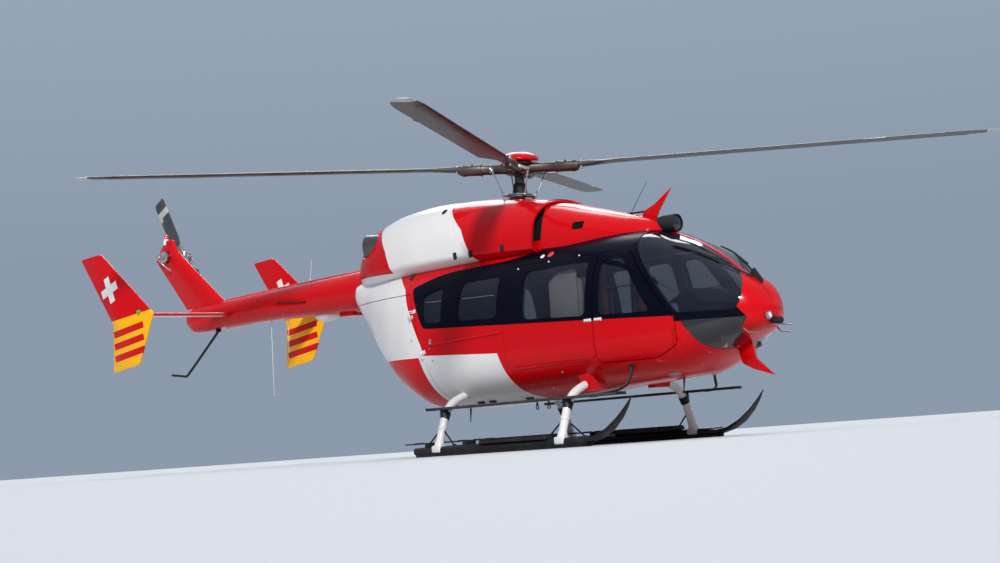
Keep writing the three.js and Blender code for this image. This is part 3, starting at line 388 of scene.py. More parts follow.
@dataclass(frozen=True)
class Skin:
    """A lofted body by sections: flat-sided rings on smooth curves along X.

    Attributes:
        rows: (x, half width, lowest z, highest z, z of the widest point) in metres.
        up: How square a ring is above its widest point.
        down: How square it is below.
    """

    rows: tuple[tuple[float, ...], ...]
    up: float
    down: float

    def columns(self, x: np.ndarray) -> np.ndarray:
        """The table's other four columns at some stations, one row for each.

        Args:
            x: The stations.

        Returns:
            Half width, low, high and widest height for each.
        """
        table = np.array(sorted(self.rows))
        xs, values = table[:, 0], table[:, 1:]
        secant = np.diff(values, axis=0) / np.diff(xs)[:, None]
        before, after = secant[:-1], secant[1:]
        product = before * after
        total = np.where(product > 0, before + after, 1.0)
        middle = np.where(product > 0, 2 * product / total, 0.0)
        slopes = np.vstack([secant[:1], middle, secant[-1:]])
        i = np.clip(np.searchsorted(xs, x, side="right") - 1, 0, len(xs) - 2)
        span = (xs[i + 1] - xs[i])[..., None]
        t = np.clip((x - xs[i])[..., None] / span, 0.0, 1.0)
        t2, t3 = t * t, t * t * t
        return (
            (2 * t3 - 3 * t2 + 1) * values[i] + (t3 - 2 * t2 + t) * span * slopes[i]
            + (3 * t2 - 2 * t3) * values[i + 1] + (t3 - t2) * span * slopes[i + 1])

    def row(self, x: float) -> np.ndarray:
        """Half width, lowest, highest and widest heights at one station."""
        return self.columns(np.array([x]))[0]

    def rings(self, stations: np.ndarray, count: int, inset: float) -> np.ndarray:
        """Rings of points at some stations.

        Args:
            stations: Where the rings are.
            count: Points in each ring.
            inset: How far the skin is moved in.

        Returns:
            An array of shape (stations, count, 3).
        """
        half, low, high, wide = self.columns(stations).T[:, :, None]
        angle = 2 * np.pi * np.arange(count) / count
        sine, cosine = np.sin(angle), np.cos(angle)
        power = np.where(sine >= 0, 2 / self.up, 2 / self.down)
        rise, reach = (np.sign(v) * np.abs(v) ** power for v in (sine, cosine))
        z = wide + rise * np.where(rise >= 0, high - inset - wide, wide - low - inset)
        y = (half - inset) * reach
        return np.stack([np.broadcast_to(stations[:, None], y.shape), y, z], axis=-1)

    def solid(self, count: int = 120, columns: int = 128, inset: float = 0.0, nose: float = 0.0,
              ends: tuple[float, float] | None = None) -> Solid:
        """The closed body.

        Args:
            count: How many stations.
            columns: Points in each ring.
            inset: How far the skin is moved in.
            nose: How far a rounded front end stands out.
            ends: Its first and last station, where not the table's.

        Returns:
            The solid.
        """
        xs = sorted(row[0] for row in self.rows)
        start, end = ends or (xs[0] + inset, xs[-1] - inset)
        rings = list(self.rings(np.linspace(start, end, count), columns, inset))
        if nose:
            last, first = rings[-1], 0.9
            centre = last.mean(axis=0)
            for turn in np.linspace(first, math.pi / 2, 10)[1:]:
                ring = centre + (last - centre) * max(math.cos(turn) / math.cos(first), 0.02)
                share = (math.sin(turn) - math.sin(first)) / (1 - math.sin(first))
                ring[:, 0] = last[0, 0] + nose * share
                rings.append(ring)
        return Solid(Form().loft(rings))

    def band(self, x: float, half: float, deep: float, columns: int) -> Solid:
        """The ring of a groove round the body.

        Args:
            x: Its station.
            half: Half its width.
            deep: How deep it is.
            columns: Points in each ring.

        Returns:
            The solid that cuts the groove.
        """
        outer, inner = (
            self.solid(3, columns, inset=inset, ends=(x - half - more, x + half + more))
            for inset, more in ((-0.02, 0.0), (deep, 0.002)))
        return outer.cut(inner)

    def level(self, points: np.ndarray, inset: float = 0.0) -> np.ndarray:
        """A value that is 1 on the skin moved in by inset, less inside and more outside.

        Args:
            points: The points, one row for each.
            inset: How far in from the skin.

        Returns:
            The value at each point.
        """
        half, low, high, wide = self.columns(points[:, 0]).T
        rise = points[:, 2] - wide
        above = rise >= 0
        reach = np.where(above, high - wide, wide - low) - inset
        power = np.where(above, self.up, self.down)
        return np.abs(points[:, 1] / (half - inset)) ** power + np.abs(rise / reach) ** power

    def normals(self, points: np.ndarray) -> np.ndarray:
        """Unit outward normals of the skin next to some points."""
        steps = np.eye(3) * 1e-4
        grad = np.stack([self.level(points + s) - self.level(points - s) for s in steps], axis=1)
        return grad / np.maximum(np.linalg.norm(grad, axis=1, keepdims=True), 1e-12)

    def normal(self, point: Vector) -> Vector:
        """The unit outward normal next to one point."""
        return Vector(self.normals(np.array([point]))[0])

    def at(self, x: float, z: float, side: int, out: float = 0.0) -> Vector:
        """The point of the skin on one side at a station and height.

        Args:
            x: Station.
            z: Height.
            side: -1 for starboard, 1 for port.
            out: How far it stands off the skin.

        Returns:
            The point.
        """
        half, low, high, wide = self.row(x)
        rise = z - wide
        power, reach = (self.up, high - wide) if rise >= 0 else (self.down, wide - low)
        inside = max(1 - abs(rise / reach) ** power, 0.0)
        point = Vector((x, side * half * inside ** (1 / power), z))
        return point + self.normal(point) * out if out else point

    def facing(self, x: float, z: float, side: int) -> Matrix:
        """Axes on the skin at a station and height, with local Z outwards."""
        base = self.at(x, z, side)
        return Matrix.Translation(base) @ upright(self.normal(base))


def squared_ring(middle: Point, wide: float, deep: float, square: float, count: int) -> np.ndarray:
    """A squared oval across X.

    Args:
        middle: Its middle.
        wide: Half its width.
        deep: Half its height.
        square: 2 for a true oval, more for squarer ones.
        count: How many points it has.

    Returns:
        An array of points.
    """
    turn = np.arange(count) * math.tau / count
    y, z = (np.sign(v) * np.abs(v) ** (2 / square) for v in (np.cos(turn), np.sin(turn)))
    return np.stack([np.full(count, middle[0]), middle[1] + y * wide, middle[2] + z * deep], axis=1)


def aerofoil(chord: float, thick: float, camber: float = 0.0, count: int = 29) -> np.ndarray:
    """A wing's section as [along the chord, across it].

    Args:
        chord: From the leading edge, at 0.27 chord, to the trailing edge.
        thick: The greatest thickness.
        camber: Rise of the middle line, as a share of the chord.
        count: Points round the section; an odd number.

    Returns:
        An array of points, traced once round.
    """
    turn = np.linspace(0.0, np.pi, count // 2 + 1)
    s = 0.5 * (1 - np.cos(turn))
    shape = 2.97 * np.sqrt(s) - 1.26 * s - 3.52 * s**2 + 2.84 * s**3 - 1.0 * s**4
    depth = np.maximum(shape * thick / 2, thick * 0.03)
    depth[0] = 0.0
    line = camber * chord * 4 * s * (1 - s)
    top, under = (np.stack([(0.27 - s) * chord, line + d], axis=1) for d in (depth, -depth))
    return np.concatenate([top, under[1:][::-1]])


def smooth_path(points: Outline, steps: int = 8) -> list[Vector]:
    """More points on a smooth curve through some points.

    Args:
        points: The points that it passes.
        steps: Steps between two of them.

    Returns:
        The points of the curve.
    """
    p = [Vector(q) for q in points]
    p = [p[0] * 2 - p[1], *p, p[-1] * 2 - p[-2]]
    out = []
    for a, b, c, d in zip(p, p[1:], p[2:], p[3:]):
        for t in (k / steps for k in range(steps)):
            out.append(0.5 * (
                2 * b + (c - a) * t + (2 * a - 5 * b + 4 * c - d) * t**2
                + (3 * b - a - 3 * c + d) * t**3))
    return [*out, p[-2]]


class Nodes:
    """Makes and joins the nodes of one shader tree."""

    def __init__(self, tree: bpy.types.NodeTree) -> None:
        """Takes the tree that is built."""
        self.tree = tree

    def add(self, kind: str, **values: object) -> bpy.types.Node:
        """Adds a node and sets its plain properties."""
        node = self.tree.nodes.new("ShaderNode" + kind)
        for name, value in values.items():
            setattr(node, name, value)
        return node

    def put(self, socket: Socket, value: object) -> None:
        """Joins a socket to an input, or sets the input's own value; a colour gets its alpha."""
        if isinstance(value, Socket):
            self.tree.links.new(value, socket)
        else:
            socket.default_value = (*value, 1.0) if socket.type == "RGBA" else value

    def fit(self, node: bpy.types.Node, values: dict[str, object]) -> bpy.types.Node:
        """Puts a value into each named input of a node."""
        for name, value in values.items():
            self.put(node.inputs[name], value)
        return node

    def math(self, how: str, *values: object) -> Socket:
        """The result of a Math node."""
        node = self.add("Math", operation=how)
        for socket, value in zip(node.inputs, values):
            self.put(socket, value)
        return node.outputs[0]

    def times(self, a: object, b: object) -> Socket:
        """One value times another."""
        return self.math("MULTIPLY", a, b)

    def vector(self, how: str, a: object, b: Point) -> Socket:
        """The result of a Vector Math node on a vector and a fixed one."""
        node = self.add("VectorMath", operation=how)
        self.put(node.inputs[0], a)
        self.put(node.inputs[1], b)
        return node.outputs["Value" if how == "DOT_PRODUCT" else "Vector"]

    def noise(self, vector: object, scale: object, detail: float = 3.0) -> Socket:
        """The grey value of a noise."""
        values = {"Vector": vector, "Scale": scale, "Detail": detail}
        return self.fit(self.add("TexNoise"), values).outputs[0]

    def span(self, value: object, low: float, high: float, to: Point = (0.0, 1.0)) -> Socket:
        """A value moved from one range to another and held there."""
        names = ("Value", "From Min", "From Max", "To Min", "To Max")
        node = self.add("MapRange", clamp=True)
        return self.fit(node, dict(zip(names, (value, low, high, *to)))).outputs[0]

    def mix(self, share: object, a: object, b: object) -> Socket:
        """A mix of two colours.

        Args:
            share: How much of the second.
            a: The first colour.
            b: The second colour.

        Returns:
            The mixed colour.
        """
        node = self.add("Mix", data_type="RGBA")
        self.put(node.inputs["Factor"], share)
        self.put(node.inputs[6], a)
        self.put(node.inputs[7], b)
        return node.outputs[2]

    def bump(self, height: object, strength: float, distance: float) -> Socket:
        """A normal from a height."""
        values = {"Strength": strength, "Distance": distance, "Height": height}
        return self.fit(self.add("Bump"), values).outputs[0]

    def place(self) -> Socket:
        """Object coordinates."""
        return self.add("TexCoord").outputs["Object"]

    def level(self, vector: object, axis: str) -> Socket:
        """One part of a vector."""
        return self.fit(self.add("SeparateXYZ"), {"Vector": vector}).outputs[axis]


class Effect:
    """A shader group that more than one finish uses, built once."""

    built: dict[str, bpy.types.NodeTree] = {}

    def __init__(self, name: str, outputs: Sequence[str], fill: Callable[[Nodes, dict], dict],
                 **inputs: float) -> None:
        """Names a group and how it is filled.

        Args:
            name: The group's name.
            outputs: Its outputs.
            fill: Gets the nodes and the input sockets and gives the outputs' values.
            **inputs: Its plain inputs, next to the place that each group has.
        """
        self.name, self.outputs, self.fill, self.inputs = name, outputs, fill, inputs

    def tree(self) -> bpy.types.NodeTree:
        """The group's tree."""
        if self.name not in Effect.built:
            tree = bpy.data.node_groups.new(self.name, "ShaderNodeTree")
            face = tree.interface
            face.new_socket("Place", in_out="INPUT", socket_type="NodeSocketVector")
            for name, value in self.inputs.items():
                socket = face.new_socket(name, in_out="INPUT", socket_type="NodeSocketFloat")
                socket.default_value = value
            for name in self.outputs:
                face.new_socket(name, in_out="OUTPUT", socket_type="NodeSocketFloat")
            start, end = tree.nodes.new("NodeGroupInput"), tree.nodes.new("NodeGroupOutput")
            nodes = Nodes(tree)
            given = {name: start.outputs[name] for name in ("Place", *self.inputs)}
            nodes.fit(end, self.fill(nodes, given))
            Effect.built[self.name] = tree
        return Effect.built[self.name]

    def use(self, nodes: Nodes, place: Socket, **values: float) -> dict[str, Socket]:
        """Places the group in a material.

        Args:
            nodes: The material's nodes.
            place: The coordinates that it reads.
            **values: Its plain inputs.

        Returns:
            The group's outputs.
        """
        return nodes.fit(nodes.add("Group", node_tree=self.tree()), {"Place": place, **values}).outputs


def _wear(nodes: Nodes, given: dict) -> dict:
    """Broad patches, fine specks and long scratches.

    Args:
        nodes: The tree's nodes.
        given: The group's inputs.

    Returns:
        The group's outputs.
    """
    place, scale = given["Place"], given["Scale"]
    broad = nodes.noise(place, scale, 5.0)
    fine = nodes.noise(place, nodes.times(scale, 26.0), 2.0)
    long = nodes.noise(nodes.vector("MULTIPLY", place, (6.0, 60.0, 60.0)), scale, 2.0)
    patch = nodes.span(nodes.math("ADD", broad, nodes.times(fine, 0.25)), 0.5, 0.85)
    return {"Patches": nodes.times(patch, given["Amount"]), "Streaks": long, "Fine": fine}


def _peel(nodes: Nodes, given: dict) -> dict:
    """The soft ripple of sprayed paint."""
    return {"Height": nodes.noise(given["Place"], given["Scale"], 1.0)}


def _weave(nodes: Nodes, given: dict) -> dict:
    """Crossing threads.

    Args:
        nodes: The tree's nodes.
        given: The group's inputs.

    Returns:
        The group's outputs.
    """
    waves = []
    for axis in ((1.0, 0.7, 0.0), (0.0, 0.7, 1.0)):
        turn = nodes.times(nodes.vector("DOT_PRODUCT", given["Place"], axis), given["Threads"])
        waves.append(nodes.math("ABSOLUTE", nodes.math("SINE", turn)))
    return {"Height": nodes.math("MAXIMUM", *waves), "Shade": nodes.noise(given["Place"], 30.0, 4.0)}


def _brushed(nodes: Nodes, given: dict) -> dict:
    """Fine lines along X, and soft stains."""
    fine = nodes.vector("MULTIPLY", given["Place"], (8.0, 160.0, 160.0))
    return {"Lines": nodes.noise(fine, 4.0, 3.0),
            "Stains": nodes.noise(given["Place"], given["Scale"], 5.0)}


WEAR = Effect("surface_wear", ("Patches", "Streaks", "Fine"), _wear, Scale=2.0, Amount=0.5)
PEEL = Effect("paint_ripple", ("Height",), _peel, Scale=140.0)
WEAVE = Effect("cloth_weave", ("Height", "Shade"), _weave, Threads=2500.0)
BRUSHED = Effect("metal_lines", ("Lines", "Stains"), _brushed, Scale=3.0)

RED = (0.56, 0.003, 0.008)
WHITE = (0.72, 0.70, 0.695)
BAND_BLACK = (0.003, 0.004, 0.012)
YELLOW = (0.86, 0.44, 0.008)


class Field:
    """Signed distances to lines of the side view: below zero is inside."""

    def __init__(self, nodes: Nodes, place: Socket) -> None:
        """Takes the tree and the place socket."""
        self.nodes, self.place = nodes, place

    def line(self, a: Point, b: Point) -> Socket:
        """Distance to the line from a to b as (station, height), inside on its left.

        Args:
            a: The line's first point.
            b: Its second point.

        Returns:
            The distance, less than 0 inside.
        """
        dx, dz = b[0] - a[0], b[1] - a[1]
        size = math.hypot(dx, dz)
        out = (dz / size, 0.0, -dx / size)
        level = out[0] * (a[0] + STATION_0) + out[2] * a[1]
        return self.nodes.math("SUBTRACT", self.nodes.vector("DOT_PRODUCT", self.place, out), level)

    def edges(self, *points: Point) -> Socket:
        """Inside every line from each point to the next."""
        return self.all_of(*map(self.line, points, points[1:]))

    def all_of(self, *parts: Socket, soft: float = 0.0) -> Socket:
        """Inside every part, with corners rounded by soft.

        Args:
            parts: The distances.
            soft: Radius of the rounded corners.

        Returns:
            The largest distance.
        """
        total = parts[0]
        for part in parts[1:]:
            how = ("SMOOTH_MAX", total, part, soft) if soft else ("MAXIMUM", total, part)
            total = self.nodes.math(*how)
        return total

    def any_of(self, *parts: Socket) -> Socket:
        """Inside one part or more."""
        total = parts[0]
        for part in parts[1:]:
            total = self.nodes.math("MINIMUM", total, part)
        return total

    def outside(self, part: Socket) -> Socket:
        """The other side of a part."""
        return self.nodes.times(part, -1.0)

    def loop(self, points: Outline, soft: float = 0.0) -> Socket:
        """Inside a convex outline of (station, height), traced anticlockwise."""
        return self.all_of(*map(self.line, points, [*points[1:], points[0]]), soft=soft)

    def mask(self, distance: Socket) -> Socket:
        """1 inside and 0 outside, with a thin soft edge."""
        return self.nodes.span(distance, 0.0006, -0.0006)


def _pod_livery(nodes: Nodes, given: dict) -> dict:
    """White and dark areas of the pod, seen from the side.

    Args:
        nodes: The tree's nodes.
        given: The group's inputs.

    Returns:
        The group's outputs.
    """
    f = Field(nodes, given["Place"])
    behind = f.edges((-0.818, 1.166), (-1.230, 1.984), (-1.551, 2.227))
    off_middle = nodes.math("ABSOLUTE", nodes.level(given["Place"], "Y"))
    spread = nodes.math("MAXIMUM", nodes.math("SUBTRACT", 0.65, off_middle), 0.0)
    front = nodes.math("SUBTRACT", f.line((0.522, 0.646), (0.369, 1.100)), nodes.times(spread, 0.17))
    patch = f.all_of(f.line((0.364, 1.100), (-0.818, 1.166)), front)
    corner = f.all_of(f.line((-0.925, 1.150), (-1.52, 1.160)), f.line((-0.772, 0.700), (-0.925, 1.148)))
    white = f.all_of(f.any_of(behind, patch), f.outside(corner))
    top = f.any_of(f.line((0.37, 2.144), (-0.63, 2.106)), f.line((1.27, 2.272), (0.37, 2.144)))
    band = f.all_of(
        f.line((-0.727, 1.471), (2.813, 1.296)), f.line((2.86, 1.2), (2.86, 2.0)), top,
        f.line((-0.63, 2.106), (-1.03, 1.990)), f.line((-1.055, 1.918), (-0.864, 1.550)), soft=0.09)
    band = f.all_of(band, nodes.math("SUBTRACT", 0.034, off_middle))
    screen = f.loop([(2.78, 1.236), (3.44, 1.222), (3.36, 1.345), (2.78, 1.345)], soft=0.012)
    return {"White": f.mask(white), "Dark": f.mask(f.any_of(band, screen))}


def _cowl_livery(nodes: Nodes, given: dict) -> dict:
    """White area of the cowlings, without the red corner at the rear."""
    f = Field(nodes, given["Place"])
    behind = f.edges((-0.124, 2.241), (-0.285, 2.582), (-0.648, 2.920))
    corner = f.edges((-2.187, 2.215), (-1.488, 2.203), (-1.600, 2.480), (-1.800, 2.760))
    return {"White": f.mask(f.all_of(behind, f.outside(corner))), "Dark": 0.0}


def _endplate_livery(nodes: Nodes, given: dict) -> dict:
    """Yellow area with three slanted bars, and the white cross above.

    Args:
        nodes: The tree's nodes.
        given: The group's inputs.

    Returns:
        The group's outputs.
    """
    f = Field(nodes, given["Place"])
    (x0, drop), (x1, rise), wide = (-5.845, 0.03), (-5.330, 0.045), 0.086
    bars = []
    for z in (1.842, 1.684, 1.526):
        low, high = z - drop, z + rise
        bars.append(f.all_of(
            f.line((x0, low), (x1, high)), f.line((x1, high + wide), (x0, low + wide)),
            f.line((x0 - 0.10, low + 0.4), (x0 - 0.02, low)),
            f.line((x1 + 0.10, high), (x1, high + 0.4))))
    (x, z), lean, long, short = (-5.925, 2.45), 0.35, 0.175, 0.056
    c, s = math.cos(lean), math.sin(lean)
    arms = [f.loop([(x + u * c - v * s, z + u * s + v * c)
                    for u, v in ((-a, -b), (a, -b), (a, b), (-a, b))])
            for a, b in ((long, short), (short, long))]
    yellow = f.all_of(f.line((-5.080, 2.120), (-5.930, 2.030)), f.outside(f.any_of(*bars)))
    return {"White": f.mask(f.any_of(*arms)), "Dark": 0.0, "Yellow": f.mask(yellow)}


def _tailplane_livery(nodes: Nodes, given: dict) -> dict:
    """White underside of the tailplane, behind its red nose."""
    f = Field(nodes, given["Place"])
    under = f.all_of(f.line((-5.0, 2.053), (-5.5, 2.053)), f.line((-5.155, 2.0), (-5.155, 2.1)))
    return {"White": f.mask(under), "Dark": 0.0}


class Livery(Enum):
    """Where a paint's second colours lie."""

    PLAIN = None
    POD = Effect("pod_livery", ("White", "Dark"), _pod_livery)
    COWL = Effect("cowl_livery", ("White", "Dark"), _cowl_livery)
    TAILPLANE = Effect("tailplane_livery", ("White", "Dark"), _tailplane_livery)
    ENDPLATE = Effect("endplate_livery", ("White", "Dark", "Yellow"), _endplate_livery)


@dataclass(frozen=True)
class Finish:
    """A surface that makes its own material once."""

    name: str
    slot: str

    def sockets(self, nodes: Nodes) -> dict[str, object]:
        """What goes into the inputs of the finish's shader."""
        return {}

    def material(self) -> bpy.types.Material:
        """The finish as a material, which is made once and found by its name afterwards."""
        made = bpy.data.materials.get(self.name)
        if made is None:
            made = bpy.data.materials.new(self.name)
            made.use_nodes = True
            nodes = Nodes(made.node_tree)
            nodes.fit(made.node_tree.nodes["Principled BSDF"], self.sockets(nodes))
        return made


@dataclass(frozen=True)
class Paint(Finish):
    """Sprayed paint under a clear coat."""

    colour: Point = RED
    livery: Livery = Livery.PLAIN
    dirt: float = 0.35
    roughness: float = 0.26
    coat: float = 0.3

    def sockets(self, nodes: Nodes) -> dict[str, object]:
        """Colours by the livery, faint dirt, and the ripple of the spray.

        Args:
            nodes: The tree's nodes.

        Returns:
            The shader's inputs with their values or sockets.
        """
        place = nodes.place()
        colour: object = self.colour
        coat: object = self.coat
        marked = self.livery.value is not None
        if marked:
            masks = self.livery.value.use(nodes, place)
            if "Yellow" in masks:
                colour = nodes.mix(masks["Yellow"], colour, YELLOW)
            colour = nodes.mix(masks["White"], colour, WHITE)
        patches = WEAR.use(nodes, place, Scale=1.7, Amount=self.dirt)["Patches"]
        colour = nodes.mix(nodes.times(patches, 0.14), colour, (0.09, 0.06, 0.05))
        if marked:
            colour = nodes.mix(masks["Dark"], colour, BAND_BLACK)
            coat = nodes.span(masks["Dark"], 0.0, 1.0, (self.coat, 0.0))
        ripple = PEEL.use(nodes, place, Scale=120.0)["Height"]
        return {
            "Base Color": colour, "Coat Weight": coat, "Coat Roughness": 0.04,
            "Specular IOR Level": 0.12, "Normal": nodes.bump(ripple, 0.05, 0.0006),
            "Roughness": nodes.span(patches, 0.0, 1.0, (self.roughness, self.roughness + 0.2))}


@dataclass(frozen=True)
class Glass(Finish):
    """Smoked or clear pane, seen through by its alpha."""

    colour: Point = (0.006, 0.011, 0.030)
    alpha: float = 0.6

    def sockets(self, nodes: Nodes) -> dict[str, object]:
        """Dark tint with smears that are a little more opaque.

        Args:
            nodes: The tree's nodes.

        Returns:
            The shader's inputs with their values or sockets.
        """
        patches = WEAR.use(nodes, nodes.place(), Scale=3.0, Amount=0.5)["Patches"]
        return {
            "Base Color": nodes.mix(nodes.times(patches, 0.15), self.colour, (0.10, 0.11, 0.13)),
            "Alpha": nodes.span(patches, 0.0, 1.0, (self.alpha, min(self.alpha + 0.08, 1.0))),
            "Roughness": 0.03, "Coat Weight": 1.0, "Coat Roughness": 0.01}


@dataclass(frozen=True)
class Metal(Finish):
    """Bare, coated or stained metal."""

    colour: Point = (0.3, 0.3, 0.31)
    stain: Point = (0.12, 0.10, 0.085)
    stained: float = 0.4
    roughness: float = 0.35
    metallic: float = 0.9
    grain: float = 0.12

    def sockets(self, nodes: Nodes) -> dict[str, object]:
        """Fine lines, stains and uneven gloss.

        Args:
            nodes: The tree's nodes.

        Returns:
            The shader's inputs with their values or sockets.
        """
        made = BRUSHED.use(nodes, nodes.place(), Scale=5.0)
        lines, gloss = made["Lines"], (self.roughness - 0.06, self.roughness + 0.12)
        stains = nodes.span(made["Stains"], 0.45, 0.75, (0.0, self.stained))
        return {
            "Base Color": nodes.mix(stains, self.colour, self.stain), "Metallic": self.metallic,
            "Roughness": nodes.span(lines, 0.3, 0.7, gloss),
            "Normal": nodes.bump(lines, self.grain, 0.0006)}


@dataclass(frozen=True)
class Plastic(Finish):
    """Moulded plastic, rubber or composite with a fine grain."""

    colour: Point = (0.012, 0.012, 0.014)
    faded: Point = (0.05, 0.05, 0.052)
    roughness: float = 0.55
    grain: float = 900.0
    depth: float = 0.25

    def sockets(self, nodes: Nodes) -> dict[str, object]:
        """Grain, fading and scuffs.

        Args:
            nodes: The tree's nodes.

        Returns:
            The shader's inputs with their values or sockets.
        """
        place = nodes.place()
        wear = WEAR.use(nodes, place, Scale=4.0, Amount=0.8)
        grain = PEEL.use(nodes, place, Scale=self.grain)["Height"]
        gloss = (self.roughness - 0.08, self.roughness + 0.08)
        return {
            "Base Color": nodes.mix(nodes.times(wear["Patches"], 0.5), self.colour, self.faded),
            "Roughness": nodes.span(wear["Fine"], 0.3, 0.7, gloss),
            "Normal": nodes.bump(grain, self.depth, 0.0005)}


@dataclass(frozen=True)
class Cloth(Finish):
    """Woven seat or stretcher cloth."""

    colour: Point = (0.25, 0.02, 0.02)
    threads: float = 2400.0

    def sockets(self, nodes: Nodes) -> dict[str, object]:
        """Threads, soft shade and sheen.

        Args:
            nodes: The tree's nodes.

        Returns:
            The shader's inputs with their values or sockets.
        """
        weave = WEAVE.use(nodes, nodes.place(), Threads=self.threads)
        dark = [value * 0.6 for value in self.colour]
        shade = nodes.span(weave["Shade"], 0.35, 0.65)
        return {
            "Base Color": nodes.mix(shade, dark, self.colour), "Roughness": 0.85,
            "Sheen Weight": 0.4, "Normal": nodes.bump(weave["Height"], 0.4, 0.0008)}


@dataclass(frozen=True)
class Lamp(Finish):
    """A lamp's glass with a little glow of its own."""

    colour: Point = (0.5, 0.02, 0.01)
    glow: float = 0.3

    def sockets(self, nodes: Nodes) -> dict[str, object]:
        """Moulded ribs in tinted glass.

        Args:
            nodes: The tree's nodes.

        Returns:
            The shader's inputs with their values or sockets.
        """
        across = nodes.vector("DOT_PRODUCT", nodes.place(), (0.0, 0.4, 1.0))
        ribs = nodes.math("SINE", nodes.times(across, 900.0))
        pale = nodes.span(ribs, -1.0, 1.0, (0.0, 0.1))
        return {
            "Base Color": nodes.mix(pale, self.colour, (0.8, 0.8, 0.8)),
            "Normal": nodes.bump(ribs, 0.3, 0.0008), "Emission Color": self.colour,
            "Emission Strength": self.glow, "Roughness": 0.08, "Coat Weight": 1.0}


def _grey(value: float) -> Point:
    """A neutral colour."""
    return value, value, value


POD_PAINT = Paint("pod_paint", "red_paint", livery=Livery.POD)
COWL_PAINT = Paint("cowl_paint", "red_paint", livery=Livery.COWL)
RED_PAINT = Paint("plain_red_paint", "boom_paint")
TAILPLANE_PAINT = Paint("tailplane_paint", "red_paint", livery=Livery.TAILPLANE)
PLATE_PAINT = Paint("endplate_paint", "yellow_paint", livery=Livery.ENDPLATE)
WHITE_PAINT = Paint("plain_white_paint", "white_paint", colour=WHITE)
WHITE_TUBE = Paint("white_tube_paint", "white_tube", colour=WHITE, dirt=0.8, roughness=0.35)
DARK_GLASS = Glass("dark_window_glass", "window_glass", alpha=0.34)
SCREEN_GLASS = Glass("windscreen_glass", "window_glass", alpha=0.38)
CHIN_GLASS = Glass("chin_window_glass", "window_glass", (0.050, 0.052, 0.055), 0.5)
LAMP_GLASS = Glass("dome_lamp_glass", "window_glass", (0.03, 0.032, 0.036), 0.72)
CLEAR_GLASS = Glass("clear_lens", "window_glass", (0.5, 0.52, 0.55), 0.35)
BLADE_SKIN = Plastic("blade_composite", "blade_grey", (0.055, 0.058, 0.062), _grey(0.13),
                     roughness=0.45, grain=500.0, depth=0.12)
BLADE_TIP = Plastic("blade_tip_paint", "blade_grey", _grey(0.45), _grey(0.3), roughness=0.4)
HUB_METAL = Metal("rotor_head_metal", "rotor_metal", (0.115, 0.098, 0.086), (0.04, 0.026, 0.02),
                  stained=0.7, roughness=0.42)
STEEL = Metal("bare_steel", "rotor_metal", _grey(0.5), roughness=0.28)
ALLOY = Metal("cast_alloy", "engine_alloy", (0.45, 0.45, 0.46), roughness=0.45)
HOT_STEEL = Metal("exhaust_steel", "exhaust_steel", (0.16, 0.14, 0.13), (0.03, 0.025, 0.022),
                  stained=0.9, roughness=0.5)
BLACK_TUBE = Metal("black_tube_coat", "black_metal", (0.016, 0.016, 0.018), (0.05, 0.048, 0.045),
                   stained=0.6, metallic=0.2, roughness=0.38)
# Paler grey for the starboard step board alone, while the port board is black: painted light on the lit
# side, with real stains
LIT_STEP_COAT = Metal("lit_step_coat", "step_grey", (0.052, 0.055, 0.06), _grey(0.10), stained=0.6,
                  metallic=0.2, roughness=0.6, grain=0.3)
FLOOR_COAT = Metal("floor_panel", "floor_grey", (0.16, 0.165, 0.17), metallic=0.2, roughness=0.6)
BLACK_PLASTIC = Plastic("black_plastic", "black_plastic")
# Near-black for the body behind the intake's mouth: painted shade, where the recess lies in shadow
SHADE_BLACK = Plastic("intake_painted_shade", "black_plastic", (0.004, 0.004, 0.005), (0.008, 0.008, 0.009),
                     roughness=0.8)
RUBBER = Plastic("seal_rubber", "black_plastic", roughness=0.7, grain=1500.0)
GREY_PLASTIC = Plastic("grey_plastic", "black_plastic", (0.17, 0.175, 0.18), _grey(0.24))
PALE_PLASTIC = Plastic("pale_plastic", "floor_grey", (0.52, 0.52, 0.50), (0.60, 0.60, 0.58),
                       roughness=0.5, grain=600.0)
LINING = Plastic("cabin_lining", "floor_grey", (0.115, 0.118, 0.125), (0.16, 0.16, 0.165),
                 roughness=0.75, grain=500.0)
SEAT_CLOTH = Cloth("seat_cloth", "seat_red")
STRETCHER_CLOTH = Cloth("stretcher_cloth", "stretcher_fabric", (0.40, 0.09, 0.015))
RED_LAMP = Lamp("red_lamp_glass", "beacon_red")
GREEN_LAMP = Lamp("green_lamp_glass", "beacon_red", (0.01, 0.35, 0.08))
WHITE_LAMP = Lamp("white_lamp_glass", "beacon_red", (0.75, 0.75, 0.72))
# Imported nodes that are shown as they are
KEPT = {"engine_starboard": ALLOY, "engine_port": ALLOY, "main_gearbox": ALLOY,
        "cabin_floor": FLOOR_COAT}


def piece(name: str, source: Form | Solid, finish: Finish, node: str | None = None,
          body: str = "airframe", skin: Skin | None = None, sharp: float = 32.0) -> bpy.types.Object:
    """Makes a finished piece of the aircraft.

    Args:
        name: The piece's name.
        source: Its form, or a solid that was cut.
        finish: What covers it.
        node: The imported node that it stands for.
        body: The body that it rides on.
        skin: A lofted skin whose true normals its smooth faces take.
        sharp: Angle in degrees past which an edge stays sharp.

    Returns:
        The object.
    """
    mesh = source.mesh() if isinstance(source, Form) else source.mesh
    mesh.name = name
    mesh.polygons.foreach_set("use_smooth", [True] * len(mesh.polygons))
    mesh.set_sharp_from_angle(angle=math.radians(sharp))
    if skin is not None:
        true_normals(mesh, skin)
    mesh.transform(shift(STATION_0, 0.0, 0.0))
    mesh.materials.clear()
    mesh.materials.append(finish.material())
    made = bpy.data.objects.new(name, mesh)
    bpy.context.scene.collection.objects.link(made)
    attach(made, body)
    if node is not None:
        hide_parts(node)
    LOG.info("%s: %d faces on %s", name, len(mesh.polygons), body)
    return made


